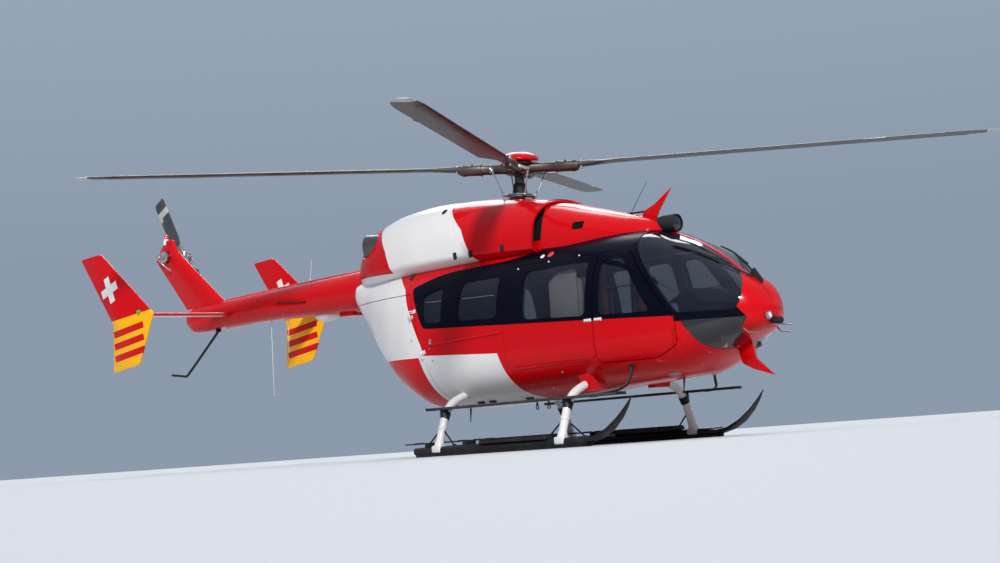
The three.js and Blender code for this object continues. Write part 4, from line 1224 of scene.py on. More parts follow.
def true_normals(mesh: bpy.types.Mesh, skin: Skin) -> None:
    """Gives the corners that lie on a skin that skin's own normals.

    Args:
        mesh: A mesh whose triangles were cut from the skin.
        skin: The skin.
    """
    normals = read(mesh.corner_normals, "vector", 3)
    index = read(mesh.loops, "vertex_index", kind=np.int32)
    points = read(mesh.vertices, "co", 3)
    sizes = read(mesh.polygons, "loop_total", kind=np.int32)
    flat = np.repeat(read(mesh.polygons, "normal", 3), sizes, axis=0)
    stations = [row[0] for row in skin.rows]
    inside = (points[:, 0] > min(stations) + 0.002) & (points[:, 0] < max(stations) - 0.002)
    near = inside & (np.abs(skin.level(points) - 1) < 0.02)
    true = skin.normals(points)
    chosen = near[index] & (np.einsum("ij,ij->i", true[index], flat) > 0.93)
    normals[chosen] = true[index][chosen]
    mesh.normals_split_custom_set(normals.tolist())


def line_inside(made: bpy.types.Object, skin: Skin, depth: float, finish: Finish) -> None:
    """Gives the faces that lie wholly inside a skin another finish.

    Args:
        made: The piece.
        skin: The skin.
        depth: How deep inside the skin all corners of such a face are.
        finish: The other finish.
    """
    mesh = made.data
    mesh.materials.append(finish.material())
    points = read(mesh.vertices, "co", 3) - np.array([STATION_0, 0.0, 0.0])
    deep = (skin.level(points, depth) < 1.0) & (points[:, 0] < max(skin.rows)[0] - 0.045)
    corners = read(mesh.loops, "vertex_index", kind=np.int32)
    starts = read(mesh.polygons, "loop_start", kind=np.int32)
    inner = np.minimum.reduceat(deep[corners].astype(np.int32), starts)
    mesh.polygons.foreach_set("material_index", inner)


POD_SKIN = Skin(metres((
    (3545, 155, 1208, 1388, 1290), (3495, 255, 1128, 1492, 1280), (3395, 362, 1072, 1612, 1264),
    (3220, 478, 993, 1728, 1235), (2940, 658, 822, 1945, 1200), (2580, 770, 685, 2150, 1180),
    (2150, 840, 650, 2295, 1170), (1650, 872, 622, 2330, 1160), (900, 880, 562, 2335, 1160),
    (0, 880, 532, 2335, 1160), (-600, 860, 524, 2325, 1190), (-1050, 828, 540, 2310, 1270),
    (-1500, 722, 735, 2295, 1420), (-1950, 538, 1140, 2280, 1640), (-2300, 368, 1545, 2268, 1890),
    (-2550, 268, 1815, 2262, 2090))), 2.7, 2.6)
COWL_SKIN = Skin(metres((
    (1100, 600, 2160, 2740, 2250), (700, 640, 2150, 2820, 2260), (70, 670, 2150, 2915, 2290),
    (-500, 690, 2120, 2965, 2300), (-1000, 690, 2100, 2980, 2300), (-1500, 650, 2080, 2945, 2290),
    (-1930, 560, 2060, 2850, 2280), (-2200, 440, 2060, 2730, 2270), (-2390, 310, 2080, 2580, 2260),
)), 2.5, 2.2)
FAIRING_SKIN = Skin(metres((
    (2230, 60, 2180, 2350, 2200), (2110, 240, 2180, 2420, 2200), (1700, 410, 2180, 2535, 2220),
    (1200, 510, 2160, 2670, 2230), (780, 550, 2150, 2775, 2240), (640, 550, 2150, 2790, 2240),
)), 2.5, 2.2)
BOOM_SKIN = Skin(metres((
    (-2300, 285, 1840, 2375, 2120), (-3400, 250, 1875, 2335, 2115), (-4500, 208, 1905, 2290, 2110),
    (-5400, 165, 1905, 2255, 2095), (-5800, 130, 1880, 2240, 2080), (-6040, 95, 1890, 2220, 2065),
    (-6190, 50, 1970, 2175, 2070))), 2.3, 2.3)
SHAFT_SKIN = Skin(metres((
    (-2390, 90, 2150, 2395, 2290), (-3400, 84, 2150, 2362, 2260), (-4500, 76, 2120, 2317, 2220),
    (-5360, 66, 2100, 2278, 2190))), 2.3, 2.3)


@dataclass(frozen=True)
class Opening:
    """An outline of the side view, with round corners."""

    outline: tuple[tuple[float, ...], ...]
    corner: float

    def grown(self, by: float) -> list[tuple[float, float]]:
        """The outline moved outwards by a distance.

        Args:
            by: The distance.

        Returns:
            The moved points.
        """
        points = [Vector(point) for point in self.outline]
        pairs = list(zip(points, points[1:] + points[:1]))
        sign = math.copysign(1.0, sum(a.x * b.y - b.x * a.y for a, b in pairs))
        normals = [Vector((b.y - a.y, a.x - b.x)).normalized() * sign for a, b in pairs]
        moved = []
        for point, n0, n1 in zip(points, normals[-1:] + normals, normals):
            middle = (n0 + n1).normalized()
            moved.append(tuple(point + middle * (by / middle.dot(n1))))
        return moved

    def on_side(self, side: int, by: float = 0.0, inner: float = 0.2) -> Form:
        """The outline, grown by a distance, drawn out on one side of the aircraft."""
        corner = max(self.corner + by, 0.004)
        return Form().prism(self.grown(by), side * inner, side * FAR, corner, steps=8)


PILOT_DOOR = Opening(metres(
    ((1800, 880), (2520, 880), (2786, 1000), (2786, 1260), (2200, 2060), (1800, 2075))), 0.06)
PILOT_WINDOW = Opening(metres(((1870, 1390), (2520, 1370), (2140, 1985), (1870, 1990))), 0.06)
CABIN_DOOR = Opening(metres(((480, 925), (1784, 935), (1784, 2075), (480, 2060))), 0.06)
CABIN_WINDOW = Opening(metres(((770, 1440), (1690, 1400), (1690, 1995), (770, 1975))), 0.07)
SIDE_WINDOW = Opening(metres(((-240, 1520), (380, 1490), (380, 1970), (-210, 1950))), 0.07)
QUARTER_WINDOW = Opening(metres(((-800, 1540), (-520, 1525), (-520, 1935), (-850, 1890))), 0.07)
WINDSCREEN = Opening(metres((
    (3252, 1700), (3342, 1630), (3390, 1530), (3396, 1410), (3345, 1312), (2800, 1325), (2270, 2075),
    (2180, 2270), (2560, 2400))), 0.04)
CHIN_WINDOW = Opening(metres((
    (2838, 1245), (3450, 1232), (3310, 1045), (3090, 910), (3015, 945), (2935, 1085))), 0.03)
POST_HALF, CHIN_INNER = 0.030, 0.12


@dataclass
class Pod:
    """Cabin and nose: the painted shell and its doors, lined with grey."""

    wall: float = 0.045
    gap: float = 0.008
    slide_gap: float = 0.004
    nose_seam: float = 2.960
    nose_round: float = 0.032
    deck: tuple[float, ...] = (-2.2, 1.5, 0.56, 2.3)
    clam_top: Point = (-1.100, 1.930)
    clam_foot: Point = (-0.640, 0.560)
    clam_roof: float = 1.905
    root: Outline = ((1.36, 0.43), (1.61, 0.43), (1.61, 0.745), (1.36, 0.745))

    def _clam(self, grow: float) -> Form:
        """Everything aft of the rear doors' leaning hinge line."""
        (x0, z0), (x1, z1) = self.clam_top, self.clam_foot
        levels = (0.3, self.clam_roof + grow)
        lean = [(x0 + (z0 - z) * (x1 - x0) / (z0 - z1) + grow, z) for z in levels]
        return Form().prism([*lean, (-4.0, levels[1]), (-4.0, levels[0])], -FAR, FAR)

    def build(self) -> None:
        """Makes the shell's pieces."""
        wall = POD_SKIN.solid(260, 160, nose=self.nose_round).cut(
            POD_SKIN.solid(120, 96, inset=self.wall))
        x0, x1, half, z = self.deck
        whole = wall.cut(Form().box((x0, -half, z), (x1, half, 4.0)))
        whole = whole.cut(BOOM_SKIN.solid(40, 64, inset=SEAT))
        rear = whole.within(self._clam(0.0)).cut(BOOM_SKIN.solid(40, 64, inset=-self.gap))
        shell = whole.cut(self._clam(self.gap))
        for name, side in SIDES.items():
            shell = shell.cut(PILOT_DOOR.on_side(side, self.gap))
            for opening in (CABIN_DOOR, SIDE_WINDOW, QUARTER_WINDOW):
                shell = shell.cut(opening.on_side(side))
            shell = shell.cut(CHIN_WINDOW.on_side(side, inner=CHIN_INNER))
            shell = shell.cut(WINDSCREEN.on_side(side, inner=POST_HALF))
            self._doors(wall, rear, name, side)
        for side in SIDES.values():
            shell = shell.cut(self._root(side), Cut.JOIN)
        for x in (FRONT_TUBE_X, REAR_TUBE_X):
            shell = shell.cut(LandingGear().arch(x, 0.047))
        front = Solid(Form().box((self.nose_seam, -FAR, -1.0), (5.0, FAR, 4.0)))
        self._wall("nose_skin", shell.within(front), "nose_shell")
        self._wall("cabin_skin", shell.cut(front), "cabin_shell")

    def _doors(self, wall: Solid, rear: Solid, name: str, side: int) -> None:
        """Makes one side's three doors.

        Args:
            wall: The whole wall of the pod.
            rear: The part of it behind the hinge line of the rear doors.
            name: The side's name.
            side: Its sign along Y.
        """
        leaf = wall.within(PILOT_DOOR.on_side(side)).cut(PILOT_WINDOW.on_side(side))
        self._wall(f"pilot_door_skin_{name}", leaf, f"pilot_door_{name}", f"pilot_door_{name}_leaf")
        slide = wall.within(CABIN_DOOR.on_side(side, -self.slide_gap))
        self._wall(f"cabin_door_skin_{name}", slide.cut(CABIN_WINDOW.on_side(side)),
                   f"cabin_door_{name}")
        half = Form().box((-5, side * 0.004, -1), (5, side * FAR, 4))
        self._wall(f"clamshell_skin_{name}", rear.within(half), f"clamshell_door_{name}",
                   f"clamshell_{name}_leaf")

    def _wall(self, name: str, source: Solid, node: str, body: str = "airframe") -> None:
        """Makes a painted wall of the pod with its grey lining."""
        made = piece(name, source, POD_PAINT, node, body, POD_SKIN)
        line_inside(made, POD_SKIN, self.wall * 0.9, LINING)

    def _root(self, side: int) -> Solid:
        """The tapered fairing over a front leg's root.

        Args:
            side: -1 for starboard, 1 for port.

        Returns:
            The fairing's body.
        """
        root = Form().prism([(x, side * y) for x, y in self.root], 0.60, 0.90, 0.05, "XY")
        for vert in root.bm.verts:
            if vert.co.z < 0.7:
                vert.co.x += 0.05 if vert.co.x < FRONT_TUBE_X else -0.05
                vert.co.y -= side * 0.05 if abs(vert.co.y) > 0.6 else 0.0
        return Solid(root).cut(POD_SKIN.solid(60, 64, inset=self.wall))


@dataclass
class Glazing:
    """Every pane, near flush in its frame."""

    depth: float = 0.004
    thick: float = 0.006
    fit: float = 0.0015
    panes: tuple[tuple[str, Opening, float, Glass, str], ...] = (
        ("windscreen_pane", WINDSCREEN, POST_HALF, SCREEN_GLASS, "windscreen"),
        ("chin_pane", CHIN_WINDOW, CHIN_INNER, CHIN_GLASS, "chin_window"),
        ("pilot_pane", PILOT_WINDOW, 0.2, DARK_GLASS, "pilot_glass"),
        ("cabin_pane", CABIN_WINDOW, 0.2, DARK_GLASS, "cabin_glass"),
        ("side_pane", SIDE_WINDOW, 0.2, DARK_GLASS, "rear_glass"),
        ("quarter_pane", QUARTER_WINDOW, 0.2, DARK_GLASS, "rear_glass"))

    def build(self) -> None:
        """Cuts the panes from one thin shell."""
        pane = POD_SKIN.solid(200, 128, inset=self.depth).cut(
            POD_SKIN.solid(200, 128, inset=self.depth + self.thick))
        for name, side in SIDES.items():
            for label, opening, inner, finish, node in self.panes:
                made = pane.within(opening.on_side(side, -self.fit, inner))
                body = f"pilot_door_{name}_leaf" if opening is PILOT_WINDOW else "airframe"
                piece(f"{label}_{name}", made, finish, f"{node}_{name}", body, POD_SKIN)


@dataclass
class Cowlings:
    """The cowlings on the roof with intake, seams, exhausts and latches."""

    wall: float = 0.022
    mouth: float = 0.780
    seam: Point = (-0.325, 0.66, 2.5)
    seam_gap: float = 0.004
    mast_x: float = 0.100
    mast_hole: float = 0.150
    vent: tuple[float, ...] = (1.250, 1.395, 2.395, 2.480)
    scoop: Opening = Opening(metres((
        (845, 2325), (851, 2420), (842, 2530), (820, 2620), (780, 2700), (600, 2700),
        (600, 2325))), 0.012)
    exhaust_from: Point = (-1.700, 0.335, 2.570)
    exhaust_to: Point = (-2.070, 0.447, 2.590)
    exhaust_r: float = 0.142
    latches: tuple[tuple[Skin, float, float], ...] = (
        (COWL_SKIN, -0.369, 2.289), (COWL_SKIN, -0.131, 2.288), (COWL_SKIN, 0.352, 2.299),
        (COWL_SKIN, -0.683, 2.846), (POD_SKIN, -1.192, 2.125))

    def _seated(self, skin: Skin, count: int) -> Solid:
        """A skin's wall, cut to sit on the roof."""
        shell = skin.solid(count, 144).cut(skin.solid(60, 72, inset=self.wall))
        return shell.cut(POD_SKIN.solid(120, 96, inset=SEAT)).cut(BOOM_SKIN.solid(40, 64, inset=SEAT))

    def _part(self, end: float, gap: float) -> Form:
        """The slice of the cowling from its slanted seam, left by a gap, to an end."""
        x0, slope, z0 = self.seam
        seam = [(x0 - slope * (z - z0) - gap, z) for z in (1.75, 4.0)]
        return Form().prism([*seam, (end, 4.0), (end, 1.75)], -FAR, FAR)

    def build(self) -> None:
        """Makes the three cowlings and what shows in them."""
        hole = Form().bar((self.mast_x, 0, 2.6), (self.mast_x, 0, 3.4), self.mast_hole, sides=64)
        cowl = self._seated(COWL_SKIN, 200).cut(hole)
        middle = cowl.within(self._part(self.mouth, 0.0))
        piece("cowl_middle", middle, COWL_PAINT, "cowling_engine", skin=COWL_SKIN)
        rear = cowl.within(self._part(-9, self.seam_gap))
        for side in SIDES.values():
            a, b = self._axis(side)
            along = (b - a).normalized()
            rear = rear.cut(Form().bar(a - along * 0.05, b + along * 0.4, self.exhaust_r + 0.004,
                                       sides=72))
        piece("cowl_rear", rear, COWL_PAINT, "cowling_rear", skin=COWL_SKIN)
        front = self._seated(FAIRING_SKIN, 140)
        x0, x1, z0, z1 = self.vent
        vent = Opening(((x0, z0), (x1, z0), (x1, z1), (x0, z1)), 0.02)
        for side in SIDES.values():
            front = front.cut(vent.on_side(side)).cut(self.scoop.on_side(side))
        piece("cowl_front", front, RED_PAINT, "cowling_front", skin=FAIRING_SKIN)
        for name, side in SIDES.items():
            self._exhaust(name, side)
            self._vent_mesh(name, side)
        self._intake()
        self._latches()

    def _axis(self, side: int) -> list[Vector]:
        """The two ends of one side's exhaust pipe."""
        return [Vector((x, side * y, z)) for x, y, z in (self.exhaust_from, self.exhaust_to)]

    def _exhaust(self, name: str, side: int) -> None:
        """Makes one hollow exhaust pipe, with its lip, inner cone and spokes.

        Args:
            name: The side's name.
            side: Its sign along Y.
        """
        a, b = self._axis(side)
        place, long, r = Matrix.Translation(a) @ upright(b - a), (b - a).length, self.exhaust_r
        wall = ((r - 0.014, 0.0), (r - 0.010, long * 0.6), (r - 0.006, long - 0.012),
                (r - 0.002, long - 0.002), (r, long), (r + 0.001, long - 0.008),
                (r - 0.002, long * 0.6), (r - 0.004, 0.0))
        form = Form().lathe(wall, place, 72, closed=True)
        form.lathe(((0.0, 0.02), (0.05, 0.03), (0.075, 0.0), (0.0, 0.0)), place, 36)
        form.add(Form().box((0.05, -0.004, 0.0), (r - 0.008, 0.004, 0.05), 0.002),
                 *(place @ spin for spin in spins(3)))
        piece(f"exhaust_pipe_{name}", form, HOT_STEEL, f"exhaust_{name}")

    def _vent_mesh(self, name: str, side: int) -> None:
        """Makes the grille behind the small vent on one side.

        Args:
            name: The side's name.
            side: Its sign along Y.
        """
        x0, x1, z0, z1 = self.vent
        form, rows, columns = Form(), 7, 12
        for k in range(rows):
            z = z0 + (z1 - z0) * (k + 0.5) / rows
            form.bar(*(FAIRING_SKIN.at(x, z, side, -0.012) for x in (x0, x1)), 0.0022, sides=6)
        for k in range(columns):
            x = x0 + (x1 - x0) * (k + 0.5) / columns
            form.bar(*(FAIRING_SKIN.at(x, z, side, -0.014) for z in (z0, z1)), 0.0022, sides=6)
        piece(f"vent_grille_{name}", form, BLACK_TUBE)

    def _intake(self) -> None:
        """Makes the screen in the cowling's mouth, a dead black body behind it that is painted shade in the
        intake's recess, and the rim of the mast hole.
        """
        half, _, high, wide = FAIRING_SKIN.row(0.74)
        power, wires = 2 / FAIRING_SKIN.up, 14
        form = Form()
        for k in range(wires):
            more = 0.11 * (k + 0.5) / wires
            form.sweep([(
                0.742, half * math.copysign(abs(math.cos(a)) ** power, math.cos(a)) * (1 + more),
                wide + (high - wide) * abs(math.sin(a)) ** power * (1 + more * 0.7))
                for a in np.linspace(math.radians(4), math.radians(176), 40)], 0.0016, 6)
        piece("intake_screen", form, BLACK_TUBE)
        # A dead black body inside the fairing, seen through the cowling's mouth past the fairing's rear end:
        # painted shade for the intake's recess
        throat = FAIRING_SKIN.solid(40, 96, inset=self.wall + 0.03, ends=(0.50, 1.0))
        piece("intake_throat_shade", throat.cut(POD_SKIN.solid(60, 64, inset=SEAT)), SHADE_BLACK)
        r, thick = self.mast_hole, 0.012
        rim = ((r, 0.0), (r + thick, 0.0), (r + thick, thick), (r, thick))
        place = shift(self.mast_x, 0, COWL_SKIN.at(self.mast_x, 2.9, 1).z + 0.006)
        piece("mast_hole_rim", Form().lathe(rim, place, 48, closed=True), RUBBER)

    def _latches(self) -> None:
        """Makes the black over-centre latches along the seams."""
        body = Form().box((-0.024, -0.034, 0.0), (0.024, 0.034, 0.012), 0.004)
        body.box((-0.016, -0.05, 0.004), (0.016, 0.02, 0.018), 0.004)
        form = Form()
        for skin, x, z in self.latches:
            for side in SIDES.values():
                base = skin.at(x, z, side, -0.002)
                form.add(body, Matrix.Translation(base) @ upright(skin.normal(base)))
        piece("cowl_latches", form, BLACK_PLASTIC)


def between(x: float, table: Outline) -> list[float]:
    """A table's other columns where its first one is x, on straight lines between its rows."""
    first, *rest = np.array(table).T
    return [np.interp(x, first, column) for column in rest]


@dataclass
class Tail:
    """Boom, shaft cover, fin, tailplane, end plates, gearbox, beacon and bumper."""

    boom_seams: Point = (-2.62, -3.42, -4.62, -5.42)
    cover_seams: Point = (-2.95, -3.60, -4.25, -4.90)
    stab_x: float = -5.205
    stab_z: float = 2.060
    half_span: float = 1.470
    stab_chord: float = 0.385
    stab_thick: float = 0.052
    fin_rows: Outline = metres((
        (2215, -5350, -6218, 120), (2600, -5824, -6543, 116), (2950, -6256, -6840, 110),
        (3060, -6370, -6760, 105), (3195, -6440, -6645, 80)))
    plate: Outline = metres((
        (-5030, 2070), (-6090, 2940), (-6520, 2910), (-5880, 1980), (-5930, 1360), (-5380, 1430)))
    plate_in: float = 1.4703
    plate_thick: float = 0.030
    rotor_x: float = -6.550
    rotor_z: float = 2.980
    beacon_x: float = -6.600
    housing: Outline = (
        (0.0, -0.15), (0.04, -0.15), (0.045, -0.142), (0.045, -0.12), (0.062, -0.112),
        (0.082, -0.104), (0.082, -0.09), (0.07, -0.085), (0.068, -0.04), (0.074, -0.03),
        (0.074, 0.03), (0.068, 0.045), (0.068, 0.08), (0.082, 0.086), (0.082, 0.1),
        (0.066, 0.106), (0.06, 0.12), (0.0, 0.12))
    bumper: Outline = (
        (-5.560, 0, 1.885), (-5.80, 0, 1.70), (-6.05, 0, 1.509), (-6.22, 0, 1.381),
        (-6.29, 0, 1.330), (-6.335, 0, 1.313), (-6.40, 0, 1.321), (-6.52, 0, 1.336),
        (-6.630, 0, 1.350))

    def build(self) -> None:
        """Makes the tail's pieces."""
        self._boom()
        self._fin()
        self._tailplane()
        self._end_plates()
        self._gearbox()
        self._beacon()
        self._bumper()
        self._small_items()

    def _boom(self) -> None:
        """Makes the tapered boom and the humped cover along its top, both with seams."""
        boom = BOOM_SKIN.solid(180, 96, ends=(-6.190, -2.270))
        boom = boom.cut(BOOM_SKIN.solid(60, 64, inset=0.018, ends=(-6.15, -2.2)))
        for x in self.boom_seams:
            boom = boom.cut(BOOM_SKIN.band(x, 0.002, 0.003, 96))
        piece("boom_skin", boom, RED_PAINT, "tail_boom", skin=BOOM_SKIN)
        cover = SHAFT_SKIN.solid(160, 64).cut(BOOM_SKIN.solid(40, 64, inset=SEAT))
        cover = cover.cut(POD_SKIN.solid(60, 64, inset=SEAT)).cut(COWL_SKIN.solid(60, 64))
        for x in self.cover_seams:
            cover = cover.cut(SHAFT_SKIN.band(x, 0.003, 0.004, 64))
        piece("shaft_tunnel", cover, RED_PAINT, "shaft_cover", skin=SHAFT_SKIN)

    def _fin(self) -> None:
        """Makes the swept fin with a rounded top and the notch of its gearbox."""
        rings = []
        for z in np.linspace(self.fin_rows[0][0], self.fin_rows[-1][0], 60):
            lead, trail, thick = between(z, self.fin_rows)
            ring = aerofoil(lead - trail, thick, count=49)
            middle = trail + 0.73 * (lead - trail)
            rings.append(np.stack([middle + ring[:, 0], ring[:, 1], np.full(len(ring), z)], axis=1))
        last = rings[-1]
        centre = last.mean(axis=0)
        for turn in (0.5, 0.9, 1.2, 1.45):
            ring = centre + (last - centre) * math.cos(turn) ** 0.6
            ring[:, 2] = last[0, 2] + 0.022 * math.sin(turn)
            rings.append(ring)
        fin = Solid(Form().loft(rings)).cut(BOOM_SKIN.solid(60, 64, inset=SEAT))
        x, z = self.rotor_x, self.rotor_z
        fin = fin.cut(Form().bar((x, -0.3, z), (x, 0.3, z), 0.084, sides=64))
        piece("fin_skin", fin, RED_PAINT, "tail_fin", sharp=40.0)

    def _tailplane(self) -> None:
        """Makes the tailplane through the boom and the cuffs at its roots."""
        x, z = self.stab_x, self.stab_z
        ring = aerofoil(self.stab_chord, self.stab_thick, count=49)
        wing = Form().loft([
            np.stack([x + ring[:, 0], np.full(len(ring), y), z - ring[:, 1]], axis=1)
            for y in np.linspace(-self.half_span, self.half_span, 25)])
        piece("tailplane", wing, TAILPLANE_PAINT, "stabiliser", sharp=40.0)
        cuffs = Form()
        for s in SIDES.values():
            cuffs.box((x - 0.16, s * 0.165, z - 0.032), (x + 0.09, s * 0.235, z + 0.032), 0.012, 3)
        piece("tailplane_cuffs", cuffs, RED_PAINT)

    def _end_plates(self) -> None:
        """Makes the two end plates with softened rims, and their side lights."""
        profile = ((0.0, 0.0), (0.022, 0.0), (0.022, 0.02), (0.014, 0.04), (0.0, 0.046))
        for name, side in SIDES.items():
            out = side * (self.plate_in + self.plate_thick)
            form = Form().prism(self.plate, side * self.plate_in, out, 0.035, round_by=0.011)
            piece(f"end_plate_{name}", form, PLATE_PAINT, f"endplate_{name}")
            lamp = Form().lathe(profile, shift(-5.30, out, 2.11) @ turned(-side * 90, "X"), 24)
            piece(f"side_light_{name}", lamp, GREEN_LAMP if side < 0 else RED_LAMP)

    def _gearbox(self) -> None:
        """Makes the cast housing across the fin with ribs and bolts, and the control rod."""
        x, z = self.rotor_x, self.rotor_z
        place = shift(x, 0, z) @ turned(-90, "X")
        form = Form().lathe(self.housing, place, 48)
        rib = Form().box((0.064, -0.003, -0.085), (0.077, 0.003, -0.035), 0.001)
        bolts = [Form().bar((0.074, 0, h), (0.074, 0, h + 0.008), 0.0055, sides=6)
                 for h in (-0.108, 0.1)]
        for spin in spins(8):
            for part in (*bolts, rib):
                form.add(part, place @ spin)
        piece("tail_drive", form, STEEL, "tail_gearbox")
        lever = Form().sweep(smooth_path([
            (x - 0.02, -0.13, z + 0.05), (x - 0.06, -0.16, z), (x + 0.02, -0.15, z - 0.10),
            (x + 0.10, -0.07, z - 0.20)]), 0.009, 12)
        lever.bar((x - 0.06, -0.175, z), (x - 0.06, -0.13, z), 0.018, sides=20, round_by=0.003)
        piece("tail_control_rod", lever, STEEL)

    def _beacon(self) -> None:
        """Makes the white foot and the red ribbed lamp on top of the fin."""
        place = shift(self.beacon_x, 0, 0)
        foot = ((0.0, 3.150), (0.044, 3.150), (0.042, 3.200), (0.036, 3.225), (0.034, 3.2353),
                (0.0, 3.2353))
        lamp = ((0.0, 3.2353), (0.030, 3.2353), (0.030, 3.275), (0.026, 3.292), (0.016, 3.303),
                (0.0, 3.305))
        piece("beacon_foot", Form().lathe(foot, place, 32), WHITE_PAINT)
        piece("beacon_lamp", Form().lathe(lamp, place, 32), RED_LAMP, "tail_beacon")

    def _bumper(self) -> None:
        """Makes the bent tube that guards the tail rotor."""
        form = Form().sweep(smooth_path(self.bumper, 6), 0.017, 20)
        foot = ((0.0, -0.004), (0.040, -0.004), (0.044, 0.004), (0.03, 0.016), (0.018, 0.05),
                (0.0, 0.05))
        form.lathe(foot, shift(-5.58, 0, 1.893) @ turned(-125, "Y"), 24)
        piece("bumper_tube", form, BLACK_TUBE, "tail_bumper")

    def _small_items(self) -> None:
        """Makes the aerials and small fairings on the boom."""
        rail = Form().bar((-4.06, -0.25, 2.11), (-3.53, -0.25, 2.06), 0.008, sides=12)
        for x, z in ((-4.06, 2.11), (-3.53, 2.06), (-3.8, 2.085)):
            root = BOOM_SKIN.at(x, z, -1, -0.01)
            rail.bar(root, (x, -0.25, z), 0.007, sides=10)
            rail.bar(root, root + Vector((0, -0.014, 0)), 0.018, sides=16)
        piece("aerial_rail", rail, BLACK_TUBE)
        oval = Form()
        bmesh.ops.create_uvsphere(
            oval.bm, u_segments=40, v_segments=20, radius=1.0,
            matrix=shift(-3.372, 0, BOOM_SKIN.row(-3.37)[1]) @ Matrix.Diagonal((0.215, 0.10, 0.075, 1)))
        piece("under_boom_fairing", oval, WHITE_PAINT)
        low = BOOM_SKIN.row(-2.93)[1]
        box = Form().box((-3.06, -0.09, low - 0.035), (-2.80, 0.09, low + 0.03), 0.014, 3)
        piece("under_boom_box", box, RED_PAINT)
        whips = Form()
        for x, tip, r in ((-4.485, 0.92, 0.005), (-4.14, 1.46, 0.004)):
            root = BOOM_SKIN.row(x)[1]
            whips.bar((x, 0, root + 0.01), (x, 0, root - 0.03), 0.014, 0.008, 16)
            whips.bar((x, 0, root - 0.02), (x - 0.03, 0, tip), r, r * 0.5, 10)
        top = SHAFT_SKIN.row(-3.67)[2]
        whips.bar((-3.67, 0, top - 0.01), (-3.67, 0, top + 0.03), 0.02, 0.010, 16)
        whips.bar((-3.668, 0, top + 0.02), (-3.62, 0, 2.61), 0.0045, 0.003, 10)
        piece("boom_whips", whips, WHITE_TUBE)
        outline = [(-5.43, 1.86), (-5.40, 1.91), (-4.90, 1.915), (-4.88, 1.895)]
        skeg = Form().prism(outline, -0.006, 0.006, 0.006, round_by=0.002)
        piece("boom_strake", skeg, WHITE_PAINT)


def paint_tips(made: bpy.types.Object, chosen: Callable[[Vector], bool]) -> None:
    """Gives the faces of a blade whose middle is chosen the paint of the tips."""
    made.data.materials.append(BLADE_TIP.material())
    for face in made.data.polygons:
        if chosen(face.center):
            face.material_index = 1


